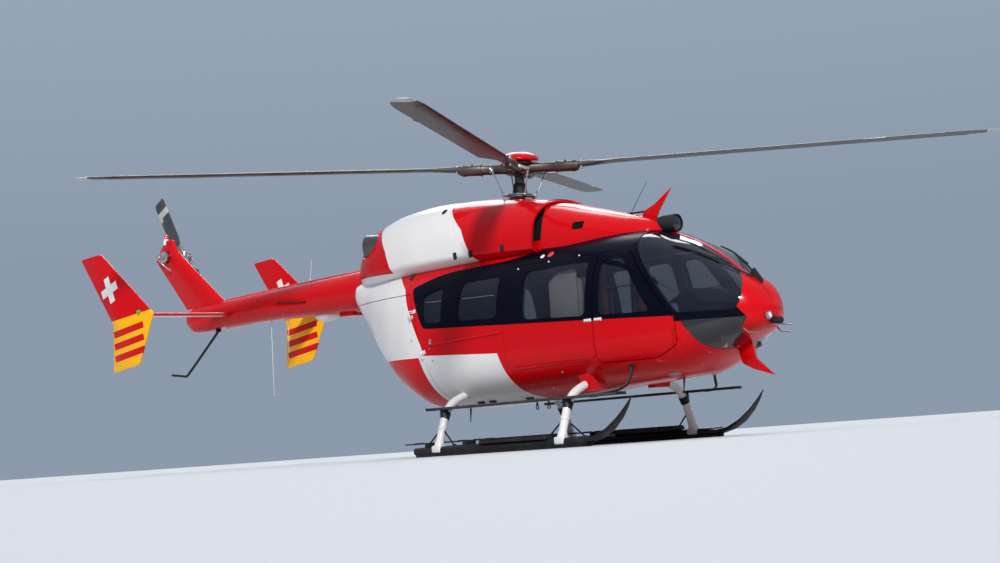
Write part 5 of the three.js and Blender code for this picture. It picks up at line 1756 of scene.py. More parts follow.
@dataclass
class MainRotor:
    """Mast, head, links, dome and four blades on the tilted mast."""

    hub: Point = (0.100, 0.0, 3.270)
    tilt: float = 3.0
    angles: Point = (32.0, 122.0, 212.0, 302.0)
    cone: float = 1.6
    star_r: float = 0.150
    arm: Outline = (
        (0.10, 0.078, 0.064), (0.18, 0.072, 0.060), (0.26, 0.062, 0.056), (0.34, 0.058, 0.056),
        (0.43, 0.060, 0.058), (0.45, 0.068, 0.064), (0.60, 0.066, 0.062), (0.66, 0.064, 0.058),
        (0.70, 0.062, 0.054))
    # Station, chord, thickness and how much of the section is an aerofoil
    blade: Outline = (
        (0.7015, 0.118, 0.088, 0.0), (0.76, 0.112, 0.076, 0.0), (0.86, 0.110, 0.068, 0.0),
        (0.96, 0.160, 0.056, 0.3), (1.06, 0.262, 0.048, 0.8), (1.15, 0.325, 0.044, 1.0),
        (1.30, 0.325, 0.040, 1.0), (3.00, 0.325, 0.038, 1.0), (4.60, 0.325, 0.038, 1.0),
        (4.95, 0.322, 0.037, 1.0), (5.15, 0.300, 0.033, 1.0), (5.33, 0.255, 0.027, 1.0),
        (5.44, 0.195, 0.020, 1.0), (5.50, 0.140, 0.014, 1.0))
    tip_from: float = 5.36

    def __post_init__(self) -> None:
        """Places the mast's and the arms' own axes."""
        self.place = shift(*self.hub) @ turned(self.tilt, "Y")
        self.arms = [self.place @ turned(angle, "Z") for angle in self.angles]

    def _piece(self, name: str, form: Form, finish: Finish, node: str | None = None,
               sharp: float = 32.0) -> bpy.types.Object:
        """Makes a piece that turns with the rotor."""
        return piece(name, form, finish, node, "main_rotor", sharp=sharp)

    def build(self) -> None:
        """Makes the head and the blades."""
        self._mast()
        self._star()
        self._links()
        self._dome()
        for number, arm in enumerate(self.arms, start=1):
            self._blade(number, arm @ turned(-self.cone, "Y"))

    def _round(self, count: int, first: float = 0.0) -> list[Matrix]:
        """Places that share out a circle about the mast."""
        return [self.place @ spin for spin in spins(count, first)]

    def _mast(self) -> None:
        """Makes the mast with its boot, cone and the two swashplate rings."""
        profile = ((0.0, -0.487), (0.062, -0.487), (0.062, -0.40), (0.056, -0.10), (0.07, -0.09),
                   (0.07, -0.075), (0.0, -0.07))
        self._piece("mast_tube", Form().lathe(profile, self.place, 40), HUB_METAL, "rotor_head")
        folds = [(0.140 - 0.010 * k + (-0.004 if k % 2 else 0.008),
                  -0.452 + 0.016 * k + (0.004 if k % 2 else 0.0)) for k in range(6)]
        boot = Form().lathe(((0.05, -0.46), *folds, (0.06, -0.352)), self.place, 48)
        self._piece("mast_boot", boot, RUBBER)
        plates = Form()
        for low, high, r in ((-0.336, -0.318, 0.135), (-0.316, -0.298, 0.150)):
            ring = ((0.075, low), (r - 0.004, low), (r, low + 0.004), (r, high - 0.004),
                    (r - 0.004, high), (0.075, high))
            plates.lathe(ring, self.place, 64, closed=True)
        plates.add(Form().bar((0.12, 0, -0.3), (0.12, 0, -0.290), 0.007, sides=6), *self._round(12))
        self._piece("swashplate_rings", plates, STEEL)
        cone = ((0.056, -0.30), (0.085, -0.29), (0.075, -0.20), (0.060, -0.17), (0.056, -0.17))
        self._piece("mast_cone", Form().lathe(cone, self.place, 48, closed=True), BLACK_PLASTIC)

    def _star(self) -> None:
        """Makes the star with its bolts, and the blades' arms and grips."""
        r, waist = self.star_r, self.star_r - 0.035
        core = ((0.0, -0.08), (r - 0.02, -0.08), (r, -0.07), (r, -0.045), (waist, -0.03),
                (waist, 0.03), (r, 0.045), (r, 0.07), (r - 0.02, 0.08), (0.0, 0.08))
        bolt = Form().bar((0.122, 0, 0.07), (0.122, 0, 0.093), 0.014, sides=6, round_by=0.002)
        star = Form().lathe(core, self.place, 64).add(bolt, *self._round(8, 0.5))
        self._piece("rotor_star", star, HUB_METAL)
        arm = Form().loft([squared_ring((x, 0, 0), wide, deep, 2.8, 32) for x, wide, deep in self.arm])
        arm.bar((0.648, 0, -0.064), (0.648, 0, 0.064), 0.024, sides=28, round_by=0.004)
        for z in (-0.064, 0.050):
            arm.bar((0.648, 0, z), (0.648, 0, z + 0.014), 0.030, sides=28, round_by=0.003)
        arm.bar((0.44, 0, 0.0), (0.452, 0, 0.0), 0.074, sides=32, round_by=0.003)
        arm.box((0.30, -0.03, -0.06), (0.36, 0.03, -0.03), 0.006)
        for y in (-0.045, 0.045):
            arm.bar((0.55, y, 0.03), (0.55, y, 0.072), 0.012, sides=6, round_by=0.002)
        self._piece("rotor_grips", Form().add(arm, *self.arms), HUB_METAL)

    def _links(self) -> None:
        """Makes the pitch horns and the links down to the swashplate."""
        lead = math.radians(28)
        horn, ear, inner = (Vector((r * math.cos(lead), r * math.sin(lead), z))
                            for r, z in ((0.33, -0.035), (0.196, -0.318), (0.13, -0.318)))
        path = smooth_path([(0.33, 0.02, 0.0), (0.33, 0.08, -0.012), horn])
        link = Form().sweep(path, [0.028] * 8 + [0.024] * 8 + [0.02], 20)
        link.bar(ear, horn, 0.009, sides=16)
        for end, towards in ((ear, horn), (horn, ear)):
            along = (towards - end).normalized()
            link.bar(end, end + along * 0.06, 0.014, 0.010, 6)
            across = along.cross(Vector((0, 0, 1))).normalized() * 0.014
            link.bar(end - across, end + across, 0.018, sides=20, round_by=0.003)
        link.bar(inner, ear, 0.017, 0.013, 16)
        self._piece("pitch_links", Form().add(link, *self.arms), STEEL)

    def _dome(self) -> None:
        """Makes the red cap over the star, with its screws."""
        profile = ((0.0, 0.0803), (0.222, 0.0803), (0.228, 0.084), (0.235, 0.100), (0.232, 0.112),
                   (0.222, 0.128), (0.205, 0.143), (0.18, 0.158), (0.145, 0.172), (0.10, 0.183),
                   (0.05, 0.189), (0.0, 0.190))
        self._piece("rotor_dome", Form().lathe(profile, self.place, 96), RED_PAINT, "rotor_cap")
        screw = Form().bar((0.214, 0, 0.130), (0.219, 0, 0.137), 0.006, sides=12)
        self._piece("rotor_dome_screws", Form().add(screw, *self._round(10)), STEEL)

    def _blade(self, number: int, place: Matrix) -> None:
        """Makes one blade with its root bolts, trim tab and the strip on its leading edge.

        Args:
            number: The blade's number.
            place: Its axes, with X along it.
        """
        circle = np.pi * 2 * np.arange(41) / 41
        stations = [row[0] for row in self.blade]
        rings = []
        for x in np.unique(np.concatenate([stations, np.linspace(1.3, 4.95, 40)])):
            chord, thick, blend = between(x, self.blade)
            wing = aerofoil(chord, thick, 0.012 * blend, 41)
            bar = np.stack([0.5 * chord * np.cos(circle), 0.5 * thick * np.sin(circle)], axis=1)
            ring = wing * blend + bar * (1 - blend)
            rings.append(np.stack([np.full(41, x), ring[:, 0], ring[:, 1]], axis=1))
        made = self._piece(f"blade_skin_{number}", Form().loft(rings).moved(place), BLADE_SKIN,
                           f"blade_{number}", 50.0)
        inverse = (shift(STATION_0, 0, 0) @ place).inverted()
        paint_tips(made, lambda middle: (inverse @ middle).x > self.tip_from)
        root, x = Form(), 0.735
        for y in (-0.034, 0.034):
            root.bar((x, y, -0.050), (x, y, 0.050), 0.013, sides=20, round_by=0.002)
            for z in (0.044, -0.056):
                root.bar((x, y, z), (x, y, z + 0.012), 0.018, sides=6, round_by=0.002)
        root.box((3.96, -0.262, -0.0045), (4.22, -0.232, -0.0025), 0.0006)
        self._piece(f"blade_bolts_{number}", root.moved(place), STEEL)
        wing = aerofoil(0.3262, 0.0400, 0.012, 41)
        front = wing[[*range(34, 41), *range(0, 8)]]
        back = front[::-1] * np.array([1.0, 0.86]) - np.array([0.0015, 0.0])
        loop = np.concatenate([front, back])
        strip = Form().loft([np.stack([np.full(len(loop), x), loop[:, 0], loop[:, 1]], axis=1)
                             for x in np.linspace(1.22, 5.10, 30)])
        self._piece(f"blade_edge_{number}", strip.moved(place), HUB_METAL)


@dataclass
class TailRotor:
    """The two-bladed tail rotor on the port side of the fin."""

    centre: Point = (-6.550, 0.260, 2.980)
    turn: float = 118.0
    blade: Outline = (
        (0.12, 0.085, 0.044), (0.20, 0.095, 0.038), (0.26, 0.16, 0.030), (0.31, 0.218, 0.024),
        (0.40, 0.220, 0.022), (0.93, 0.220, 0.020), (0.965, 0.205, 0.017), (0.980, 0.17, 0.010))
    pale_band: Point = (0.72, 0.84)

    def build(self) -> None:
        """Makes the hub and the blades."""
        x, y, z = self.centre
        place = shift(x, y, z)
        arms = [place @ turned(-self.turn - half, "Y") for half in (0, 180)]
        hub = Form().lathe((
            (0.0, -0.1397), (0.045, -0.1397), (0.045, 0.02), (0.06, 0.03), (0.06, 0.058),
            (0.075, 0.062), (0.078, 0.07), (0.07, 0.08), (0.045, 0.088), (0.0, 0.09)),
            place @ turned(-90, "X"), 48)
        hub.bar((x, y, z - 0.08), (x, y, z + 0.08), 0.05, sides=32, round_by=0.006)
        parts = [Form().box((0.03, -0.024, -0.035), (0.20, 0.024, 0.035), 0.008, 3)]
        parts += [Form().bar((at, -0.034, 0), (at, 0.034, 0), 0.012, sides=20, round_by=0.002)
                  for at in (0.11, 0.17)]
        horn = smooth_path([(0.02, 0.075, 0.03), (0.08, 0.06, 0.07), (0.15, 0.01, 0.075)])
        for arm in arms:
            for part in (*parts, Form().sweep(horn, 0.007, 10)):
                hub.add(part, arm)
        piece("tail_hub", hub, STEEL, "tail_rotor", "tail_rotor_set")
        rings = []
        stations = [row[0] for row in self.blade]
        for x in np.unique(np.concatenate([stations, np.linspace(0.4, 0.93, 12)])):
            ring = aerofoil(*between(x, self.blade), 0.01, 37)
            rings.append(np.stack([np.full(37, x), ring[:, 1], -ring[:, 0]], axis=1))
        blades = Form().add(Form().loft(rings), *arms)
        made = piece("tail_blades", blades, BLADE_SKIN, body="tail_rotor_set", sharp=50.0)
        middle, (low, high) = Vector(self.centre) + Vector((STATION_0, 0, 0)), self.pale_band
        paint_tips(made, lambda face: low < (face - middle).length < high)


@dataclass
class LandingGear:
    """Skids with ski tips and plates, cross tubes, stays and long steps."""

    skid_y: float = 1.150
    skid_r: float = 0.045
    skid_z: float = 0.066
    tube_r: float = 0.046
    tube_at: Point = (FRONT_TUBE_X, REAR_TUBE_X)
    arch_rows: Outline = metres((
        (1150, 66), (1122, 165), (1062, 320), (1008, 455), (925, 556), (820, 618), (700, 662),
        (580, 695)))
    middle: Outline = ((0.29, 0.700), (0, 0.700), (-0.29, 0.700))
    tip_rows: Outline = metres((
        (1700, 66, 38, 34), (1860, 60, 80, 30), (2020, 92, 96, 20), (2180, 168, 84, 15),
        (2320, 278, 60, 12), (2420, 385, 34, 10), (2492, 482, 7, 7)))
    plate: Outline = metres((
        (300, 815), (1130, 815), (1300, 960), (1300, 1215), (300, 1215)))
    plate_tail: Outline = metres((
        (-1140, 955), (-760, 850), (310, 815), (310, 1050), (-760, 1030)))
    step_y: float = 1.010
    step_half: float = 0.075
    step_z: float = 0.520
    step_thick: float = 0.028
    bracket: Outline = (
        (2.165, 0.700, 0.800), (2.150, 0.735, 0.70), (2.125, 0.775, 0.625), (2.06, 0.87, 0.570),
        (1.93, 0.975, 0.538), (1.80, 1.005, 0.530))
    # Where each stay's leg stands, and how far along X its foot reaches
    stays: Outline = ((FRONT_TUBE_X, -0.230), (REAR_TUBE_X, -0.215), (REAR_TUBE_X, 0.225))

    def arch(self, x: float, radius: float) -> Form:
        """A cross tube's bent bar at a station."""
        back = [(-y, z) for y, z in reversed(self.arch_rows)]
        path = smooth_path([(x, y, z) for y, z in (*self.arch_rows, *self.middle, *back)], 4)
        return Form().sweep(path, radius, 32)

    def build(self) -> None:
        """Makes the gear's pieces."""
        for name, side in SIDES.items():
            self._skid(name, side)
            self._plate(name, side)
            self._step(name, side)
            self._fittings(name, side)
        for label, x in zip(("front", "rear"), self.tube_at):
            piece(f"leg_arch_{label}", self.arch(x, self.tube_r), WHITE_TUBE, f"crosstube_{label}")

    def _skid(self, name: str, side: int) -> None:
        """Makes a skid tube with its sole and ski tip on one side.

        Args:
            name: The side's name.
            side: Its sign along Y.
        """
        y, z = side * self.skid_y, self.skid_z
        form = Form().bar((-0.750, y, z), (1.880, y, z), self.skid_r, sides=40, round_by=0.008)
        form.box((-0.730, y - 0.028, 0.0), (1.880, y + 0.028, 0.060), 0.004)
        rings = []
        for step in np.linspace(0, len(self.tip_rows) - 1, 40):
            x, z, half, thick = between(step, [(k, *row) for k, row in enumerate(self.tip_rows)])
            rings.append(squared_ring((x, y, z), half, thick, 3.2, 36))
        form.loft(rings)
        rib = smooth_path([(x, y, z + thick) for x, z, _, thick in self.tip_rows[2:6]], 5)
        form.sweep(rib, 0.008, 10)
        piece(f"skid_tube_{name}", form, BLACK_TUBE, f"skid_{name}")

    def _plate(self, name: str, side: int) -> None:
        """Makes the ribbed snow plate of one side's skid.

        Args:
            name: The side's name.
            side: Its sign along Y.
        """
        front, tail = ([(x, side * y) for x, y in (rows if side > 0 else rows[::-1])]
                       for rows in (self.plate, self.plate_tail))
        pads = Form().prism(front, 0.104, 0.140, 0.02, "XY", 0.004)
        ribs = 13
        for k in range(ribs):
            x = 0.30 + (k + 0.5) / ribs
            inner = 0.825 if x < 1.12 else 0.825 + (x - 1.12) * 0.8
            pads.box((x - 0.022, side * inner, 0.138), (x + 0.022, side * 1.208, 0.160), 0.005)
        pads.box((0.31, side * 0.818, 0.11), (1.11, side * 0.842, 0.160), 0.006)
        pads.prism(tail, 0.146, 0.160, 0.02, "XY", 0.003)
        for x in (-0.56, 0.04):
            pads.box((x - 0.025, side * 1.0, 0.09), (x + 0.025, side * 1.170, 0.151), 0.006)
        for x in (-0.9, -0.56, -0.2, 0.04, 0.22):
            pads.box((x - 0.012, side * 0.87, 0.158), (x + 0.012, side * 1.01, 0.166), 0.003)
        piece(f"snow_plate_{name}", pads, RUBBER)

    def _step(self, name: str, side: int) -> None:
        """Makes one long flat step with its grip ribs, end caps and front bracket.

        Args:
            name: The side's name.
            side: Its sign along Y.
        """
        y0, y1 = sorted(side * (self.step_y + half) for half in (-self.step_half, self.step_half))
        low, top = self.step_z, self.step_z + self.step_thick
        form = Form().box((-0.605, y0, low), (2.235, y1, top - 0.003), 0.006, 3)
        for y in np.linspace(y0 + 0.012, y1 - 0.012, 7):
            form.box((-0.59, y - 0.0035, top - 0.005), (2.22, y + 0.0035, top), 0.0012, 1)
        # The starboard board takes the paler grey and the port board black: the paler grey is painted light,
        # its stains are real wear
        piece(f"step_board_{name}", form, LIT_STEP_COAT if side < 0 else BLACK_TUBE, f"step_{name}")
        caps = Form()
        for x0, x1 in ((-0.620, -0.598), (2.228, 2.250)):
            caps.box((x0, y0 - 0.002, low - 0.002), (x1, y1 + 0.002, top + 0.002), 0.006, 3)
        caps.sweep(smooth_path([(x, side * y, z) for x, y, z in self.bracket], 5), 0.021, 16, 0.55)
        foot = ((0.0, -0.01), (0.036, -0.01), (0.036, 0.004), (0.02, 0.012), (0.0, 0.014))
        at = Matrix.Translation(POD_SKIN.at(2.16, 0.815, side))
        caps.lathe(foot, at @ turned(side * -125, "X"), 24)
        piece(f"step_ends_{name}", caps, BLACK_TUBE)

    def _fittings(self, name: str, side: int) -> None:
        """Makes the clamps, stays, feet and bolts of one side.

        Args:
            name: The side's name.
            side: Its sign along Y.
        """
        dark, bright, pale = Form(), Form(), Form()
        y = side * 1.146
        for x in self.tube_at:
            pale.box((x - 0.070, y - 0.058, 0.040), (x + 0.070, y + 0.058, 0.122), 0.020, 4)
            for dx in (-0.052, 0.052):
                bright.bar((x + dx, y, 0.115), (x + dx, y, 0.136), 0.010, sides=6, round_by=0.002)
            pale.bar((x, side * 1.140, 0.10), (x, side * 1.121, 0.168), 0.060, 0.050, 32, 0.006)
            dark.bar((x, side * 1.026, 0.412), (x, side * 0.985, 0.486), 0.054, sides=32,
                     round_by=0.004)
            dark.box((x - 0.042, side * 0.985, 0.44), (x + 0.042, side * 1.05, self.step_z + 0.002),
                     0.010, 3)
            for dx in (-0.03, 0.03):
                bright.bar((x + dx, side * 1.052, 0.47), (x + dx, side * 1.064, 0.47), 0.008, sides=6)
        for x, reach in self.stays:
            ends = Vector((x, side * 1.070, 0.318)), Vector((x + reach, side * 1.120, 0.108))
            dark.bar(*ends, 0.009, sides=14)
            across = Vector((0.0, 0.014, 0.0))
            for end in ends:
                dark.bar(end - across, end + across, 0.018, sides=20, round_by=0.003)
        for x in self.tube_at:
            pale.bar((x, side * 1.075, 0.295), (x, side * 1.065, 0.322), 0.050, sides=32,
                     round_by=0.003)
        piece(f"gear_clamps_{name}", dark, BLACK_TUBE)
        piece(f"gear_feet_{name}", pale, WHITE_TUBE)
        piece(f"gear_bolts_{name}", bright, STEEL)


@dataclass
class Cabin:
    """What shows through the panes: panel, seats, stretcher, controls, racks and ribs."""

    seat_y: float = 0.400
    seat_half: float = 0.185
    floor: float = 0.860
    most_swell: float = 0.009
    frames: int = 12
    cushion_seams: Point = (-0.36, 0.36)

    def build(self) -> None:
        """Makes the cabin's pieces."""
        self._panel()
        for name, side in SIDES.items():
            self._seat(f"crew_{name}", f"pilot_seat_{name}", side, 1.44, 1.0)
        self._seat("care", "care_seat", -1, 1.395, -1.0)
        self._stretcher()
        self._controls()
        self._lining()

    def _cushion(self, name: str, low: Point, high: Point) -> None:
        """Makes a padded cushion whose sides pull in between its corners.

        Args:
            name: The piece's name.
            low: The lowest corner of the space that it fills.
            high: The highest corner.
        """
        size = Vector(high) - Vector(low)
        form = Form()
        bmesh.ops.create_cube(form.bm, size=1.0, matrix=Matrix.Diagonal((*(size * 0.94), 1.0)))
        bmesh.ops.subdivide_edges(form.bm, edges=form.bm.edges[:], cuts=11, use_grid_fill=True)
        thin = min(range(3), key=lambda i: size[i])
        flat = [i for i in range(3) if i != thin]
        for vert in form.bm.verts:
            u, v = (vert.co[i] / (size[i] * 0.47) for i in flat)
            vert.co[thin] *= 0.70 + 0.34 * (1 - u**4) * (1 - v**4)
            vert.co[flat[0]] *= 1 - 0.035 * (1 - v * v)
            vert.co[flat[1]] *= 1 - 0.035 * (1 - u * u)
            for seam in self.cushion_seams:
                vert.co[thin] *= 1 - 0.16 * math.exp(-((u - seam) / 0.07) ** 2) * (1 - abs(v) ** 6)
        form.moved(Matrix.Translation((Vector(high) + Vector(low)) / 2))
        made = piece(name, form, SEAT_CLOTH, sharp=80.0)
        self._inflate(made)
        soft = made.modifiers.new("soft", "SUBSURF")
        soft.levels = soft.render_levels = 1

    def _inflate(self, made: bpy.types.Object) -> None:
        """Swells a cushion a little by cloth simulation and keeps the result.

        Args:
            made: The cushion; its own vertices are moved.
        """
        before = [vert.co.copy() for vert in made.data.vertices]
        cloth = made.modifiers.new("cloth", "CLOTH")
        cloth.settings.use_pressure = True
        cloth.settings.uniform_pressure_force = 2.0
        cloth.settings.quality = 4
        cloth.settings.effector_weights.gravity = 0.0
        cloth.point_cache.frame_end = self.frames
        scene = bpy.context.scene
        for number in range(1, self.frames + 1):
            scene.frame_set(number)
        shaped = made.evaluated_get(bpy.context.evaluated_depsgraph_get()).to_mesh()
        for vert, start, moved in zip(made.data.vertices, before, shaped.vertices):
            step = moved.co - start
            vert.co = start + step * min(1.0, self.most_swell / max(step.length, 1e-9))
        made.modifiers.remove(cloth)
        scene.frame_set(1)

    def _seat(self, name: str, node: str, side: int, back: float, facing: float) -> None:
        """Makes one seat: frame, shell, cushions, headrest and harness.

        Args:
            name: The start of the pieces' names.
            node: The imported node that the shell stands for.
            side: The side's sign along Y.
            back: Station of the back's rear face.
            facing: 1 where it faces forward, -1 where it faces aft.
        """
        y, half, z = side * self.seat_y, self.seat_half, self.floor

        def corners(a: float, b: float, w: float, low: float, high: float) -> tuple[Point, Point]:
            """Two corners from distances ahead of the back, half a width and two heights."""
            x0, x1 = sorted((back + facing * a, back + facing * b))
            return (x0, y - w, z + low), (x1, y + w, z + high)

        (x0, *_), (x1, *_) = corners(0.18, 0.60, half, 0, 0)
        frame_form = Form().box((x0 + 0.02, y - 0.12, z + 0.001), (x1 - 0.06, y + 0.12, z + 0.14), 0.01)
        for dy in (-0.15, 0.15):
            frame_form.bar((x0, y + dy, z + 0.012), (x1, y + dy, z + 0.012), 0.011, sides=12)
        piece(f"{name}_frame", frame_form, BLACK_TUBE)
        shell = Form().box(*corners(0, 0.055, half - 0.01, 0.24, 0.99), 0.02, 3)
        shell.box((x0 - 0.02, y - half + 0.01, z + 0.14), (x1, y + half - 0.01, z + 0.22), 0.02, 3)
        piece(f"{name}_shell", shell, GREY_PLASTIC if facing > 0 else PALE_PLASTIC, node)
        for part, *sizes in (("seat", 0.18, 0.60, half, 0.22, 0.345),
                             ("back", 0.056, 0.155, half, 0.35, 0.97),
                             ("head", 0.01, 0.095, 0.115, 0.985, 1.14)):
            self._cushion(f"{name}_{part}_pad", *corners(*sizes))
        belts = Form()
        for dy in (-0.075, 0.075):
            a, b = corners(0.162, 0.166, 0.022, 0.46, 0.98)
            belts.box((a[0], a[1] + dy, a[2]), (b[0], b[1] + dy, b[2]), 0.001, 1)
        piece(f"{name}_harness", belts, BLACK_PLASTIC)

    def _stretcher(self) -> None:
        """Makes a stretcher: rails, legs and a padded mat."""
        rails = Form()
        for y in (0.10, 0.60):
            for x0, x1, z in ((-0.55, 0.84, 1.08), (-0.50, 0.80, 0.880)):
                rails.bar((x0, y, z), (x1, y, z), 0.014, sides=16, round_by=0.004)
        for x in (-0.45, 0.0, 0.40, 0.75):
            rails.bar((x, 0.10, 1.08), (x, 0.60, 1.08), 0.010, sides=12)
            for y in (0.10, 0.60):
                rails.bar((x, y, FLOOR_TOP), (x, y, 1.08), 0.011, sides=12)
        piece("stretcher_rails", rails, STEEL)
        form = Form()
        for x in (-0.55, -0.085, 0.38):
            form.box((x, 0.09, 1.095), (x + 0.455, 0.61, 1.170), 0.028, 4)
        piece("stretcher_mat", form, STRETCHER_CLOTH, "stretcher", sharp=70.0)

    def _panel(self) -> None:
        """Makes the instrument panel with screens, and the centre console."""
        body = metres(((2560, 860.3), (2800, 860.3), (2960, 1400), (2760, 1560), (2600, 1480),
                       (2660, 1150)))
        hood = metres(((2500, 1455), (2620, 1520), (2780, 1590), (2990, 1420), (2975, 1400),
                       (2770, 1565), (2620, 1495)))
        form = Form().prism(body, -0.42, 0.42, 0.02, round_by=0.012)
        form.prism(hood, -0.44, 0.44, 0.006, round_by=0.003)
        form.box((1.75, -0.095, FLOOR_TOP), (2.68, 0.095, 1.115), 0.012, 3)
        piece("panel_hood", form, BLACK_PLASTIC, "instrument_panel")
        screens, tilt = Form(), shift(2.628, 0, 1.315) @ turned(-10, "Y")
        for y in (-0.30, -0.10, 0.10, 0.30):
            screen = Form().box((-0.014, y - 0.075, -0.10), (-0.002, y + 0.075, 0.10), 0.004)
            screens.add(screen, tilt)
        for k in range(6):
            for y in (-0.055, 0.055):
                x = 1.84 + 0.13 * k
                screens.box((x, y - 0.038, 1.112), (x + 0.10, y + 0.038, 1.122), 0.003)
        piece("panel_screens", screens, CLEAR_GLASS)

    def _controls(self) -> None:
        """Makes the cyclic and collective sticks and the pedals."""
        sticks = Form()
        for y in (side * self.seat_y for side in SIDES.values()):
            stick = ((2.22, y, FLOOR_TOP), (2.24, y, 1.00), (2.17, y, 1.14), (2.16, y, 1.28))
            lever = ((1.72, y + 0.21, 0.90), (1.90, y + 0.21, 0.98), (2.05, y + 0.21, 1.07))
            sticks.sweep(smooth_path(stick), 0.011, 12)
            sticks.bar((2.155, y, 1.24), (2.15, y, 1.36), 0.019, 0.016, 16, 0.004)
            sticks.sweep(smooth_path(lever), 0.012, 12)
            for v in (y - 0.10, y + 0.10):
                sticks.bar((2.50, v, FLOOR_TOP), (2.52, v, 0.99), 0.009, sides=12)
                sticks.box((2.50, v - 0.045, 0.975), (2.53, v + 0.045, 1.03), 0.006)
        piece("flight_controls", sticks, BLACK_TUBE)

    def _lining(self) -> None:
        """Makes the racks and the side board of the cabin, and the ribs in the nose."""
        rack = Form().box((-0.98, -0.52, FLOOR_TOP), (-0.56, -0.10, 1.36), 0.02, 3)
        rack.box((-0.96, -0.50, 1.36), (-0.60, -0.14, 1.60), 0.05, 4)
        rack.box((0.95, 0.10, FLOOR_TOP), (1.22, 0.62, 1.42), 0.02, 3)
        piece("cabin_racks", rack, GREY_PLASTIC)
        outline = [(0.99, FLOOR_TOP), (1.40, FLOOR_TOP), (1.40, 1.950), (1.13, 1.925), (0.99, 1.830)]
        board = Form().prism(outline, -0.632, -0.614, 0.03, round_by=0.004)
        board.box((0.985, -0.642, 1.300), (1.405, -0.604, 1.330), 0.006)
        piece("cabin_side_board", board, PALE_PLASTIC)
        ribs = Form()
        for x, half in ((2.86, 0.42), (2.98, 0.42), (3.10, 0.34)):
            z = POD_SKIN.row(x)[1] + 0.046
            ribs.box((x - 0.008, -half, z), (x + 0.008, half, z + 0.09), 0.003)
        for y in (-0.30, -0.1, 0.1, 0.30):
            ribs.box((2.80, y - 0.006, 0.93), (3.14, y + 0.006, 0.99), 0.002)
        piece("nose_ribs", ribs, GREY_PLASTIC)


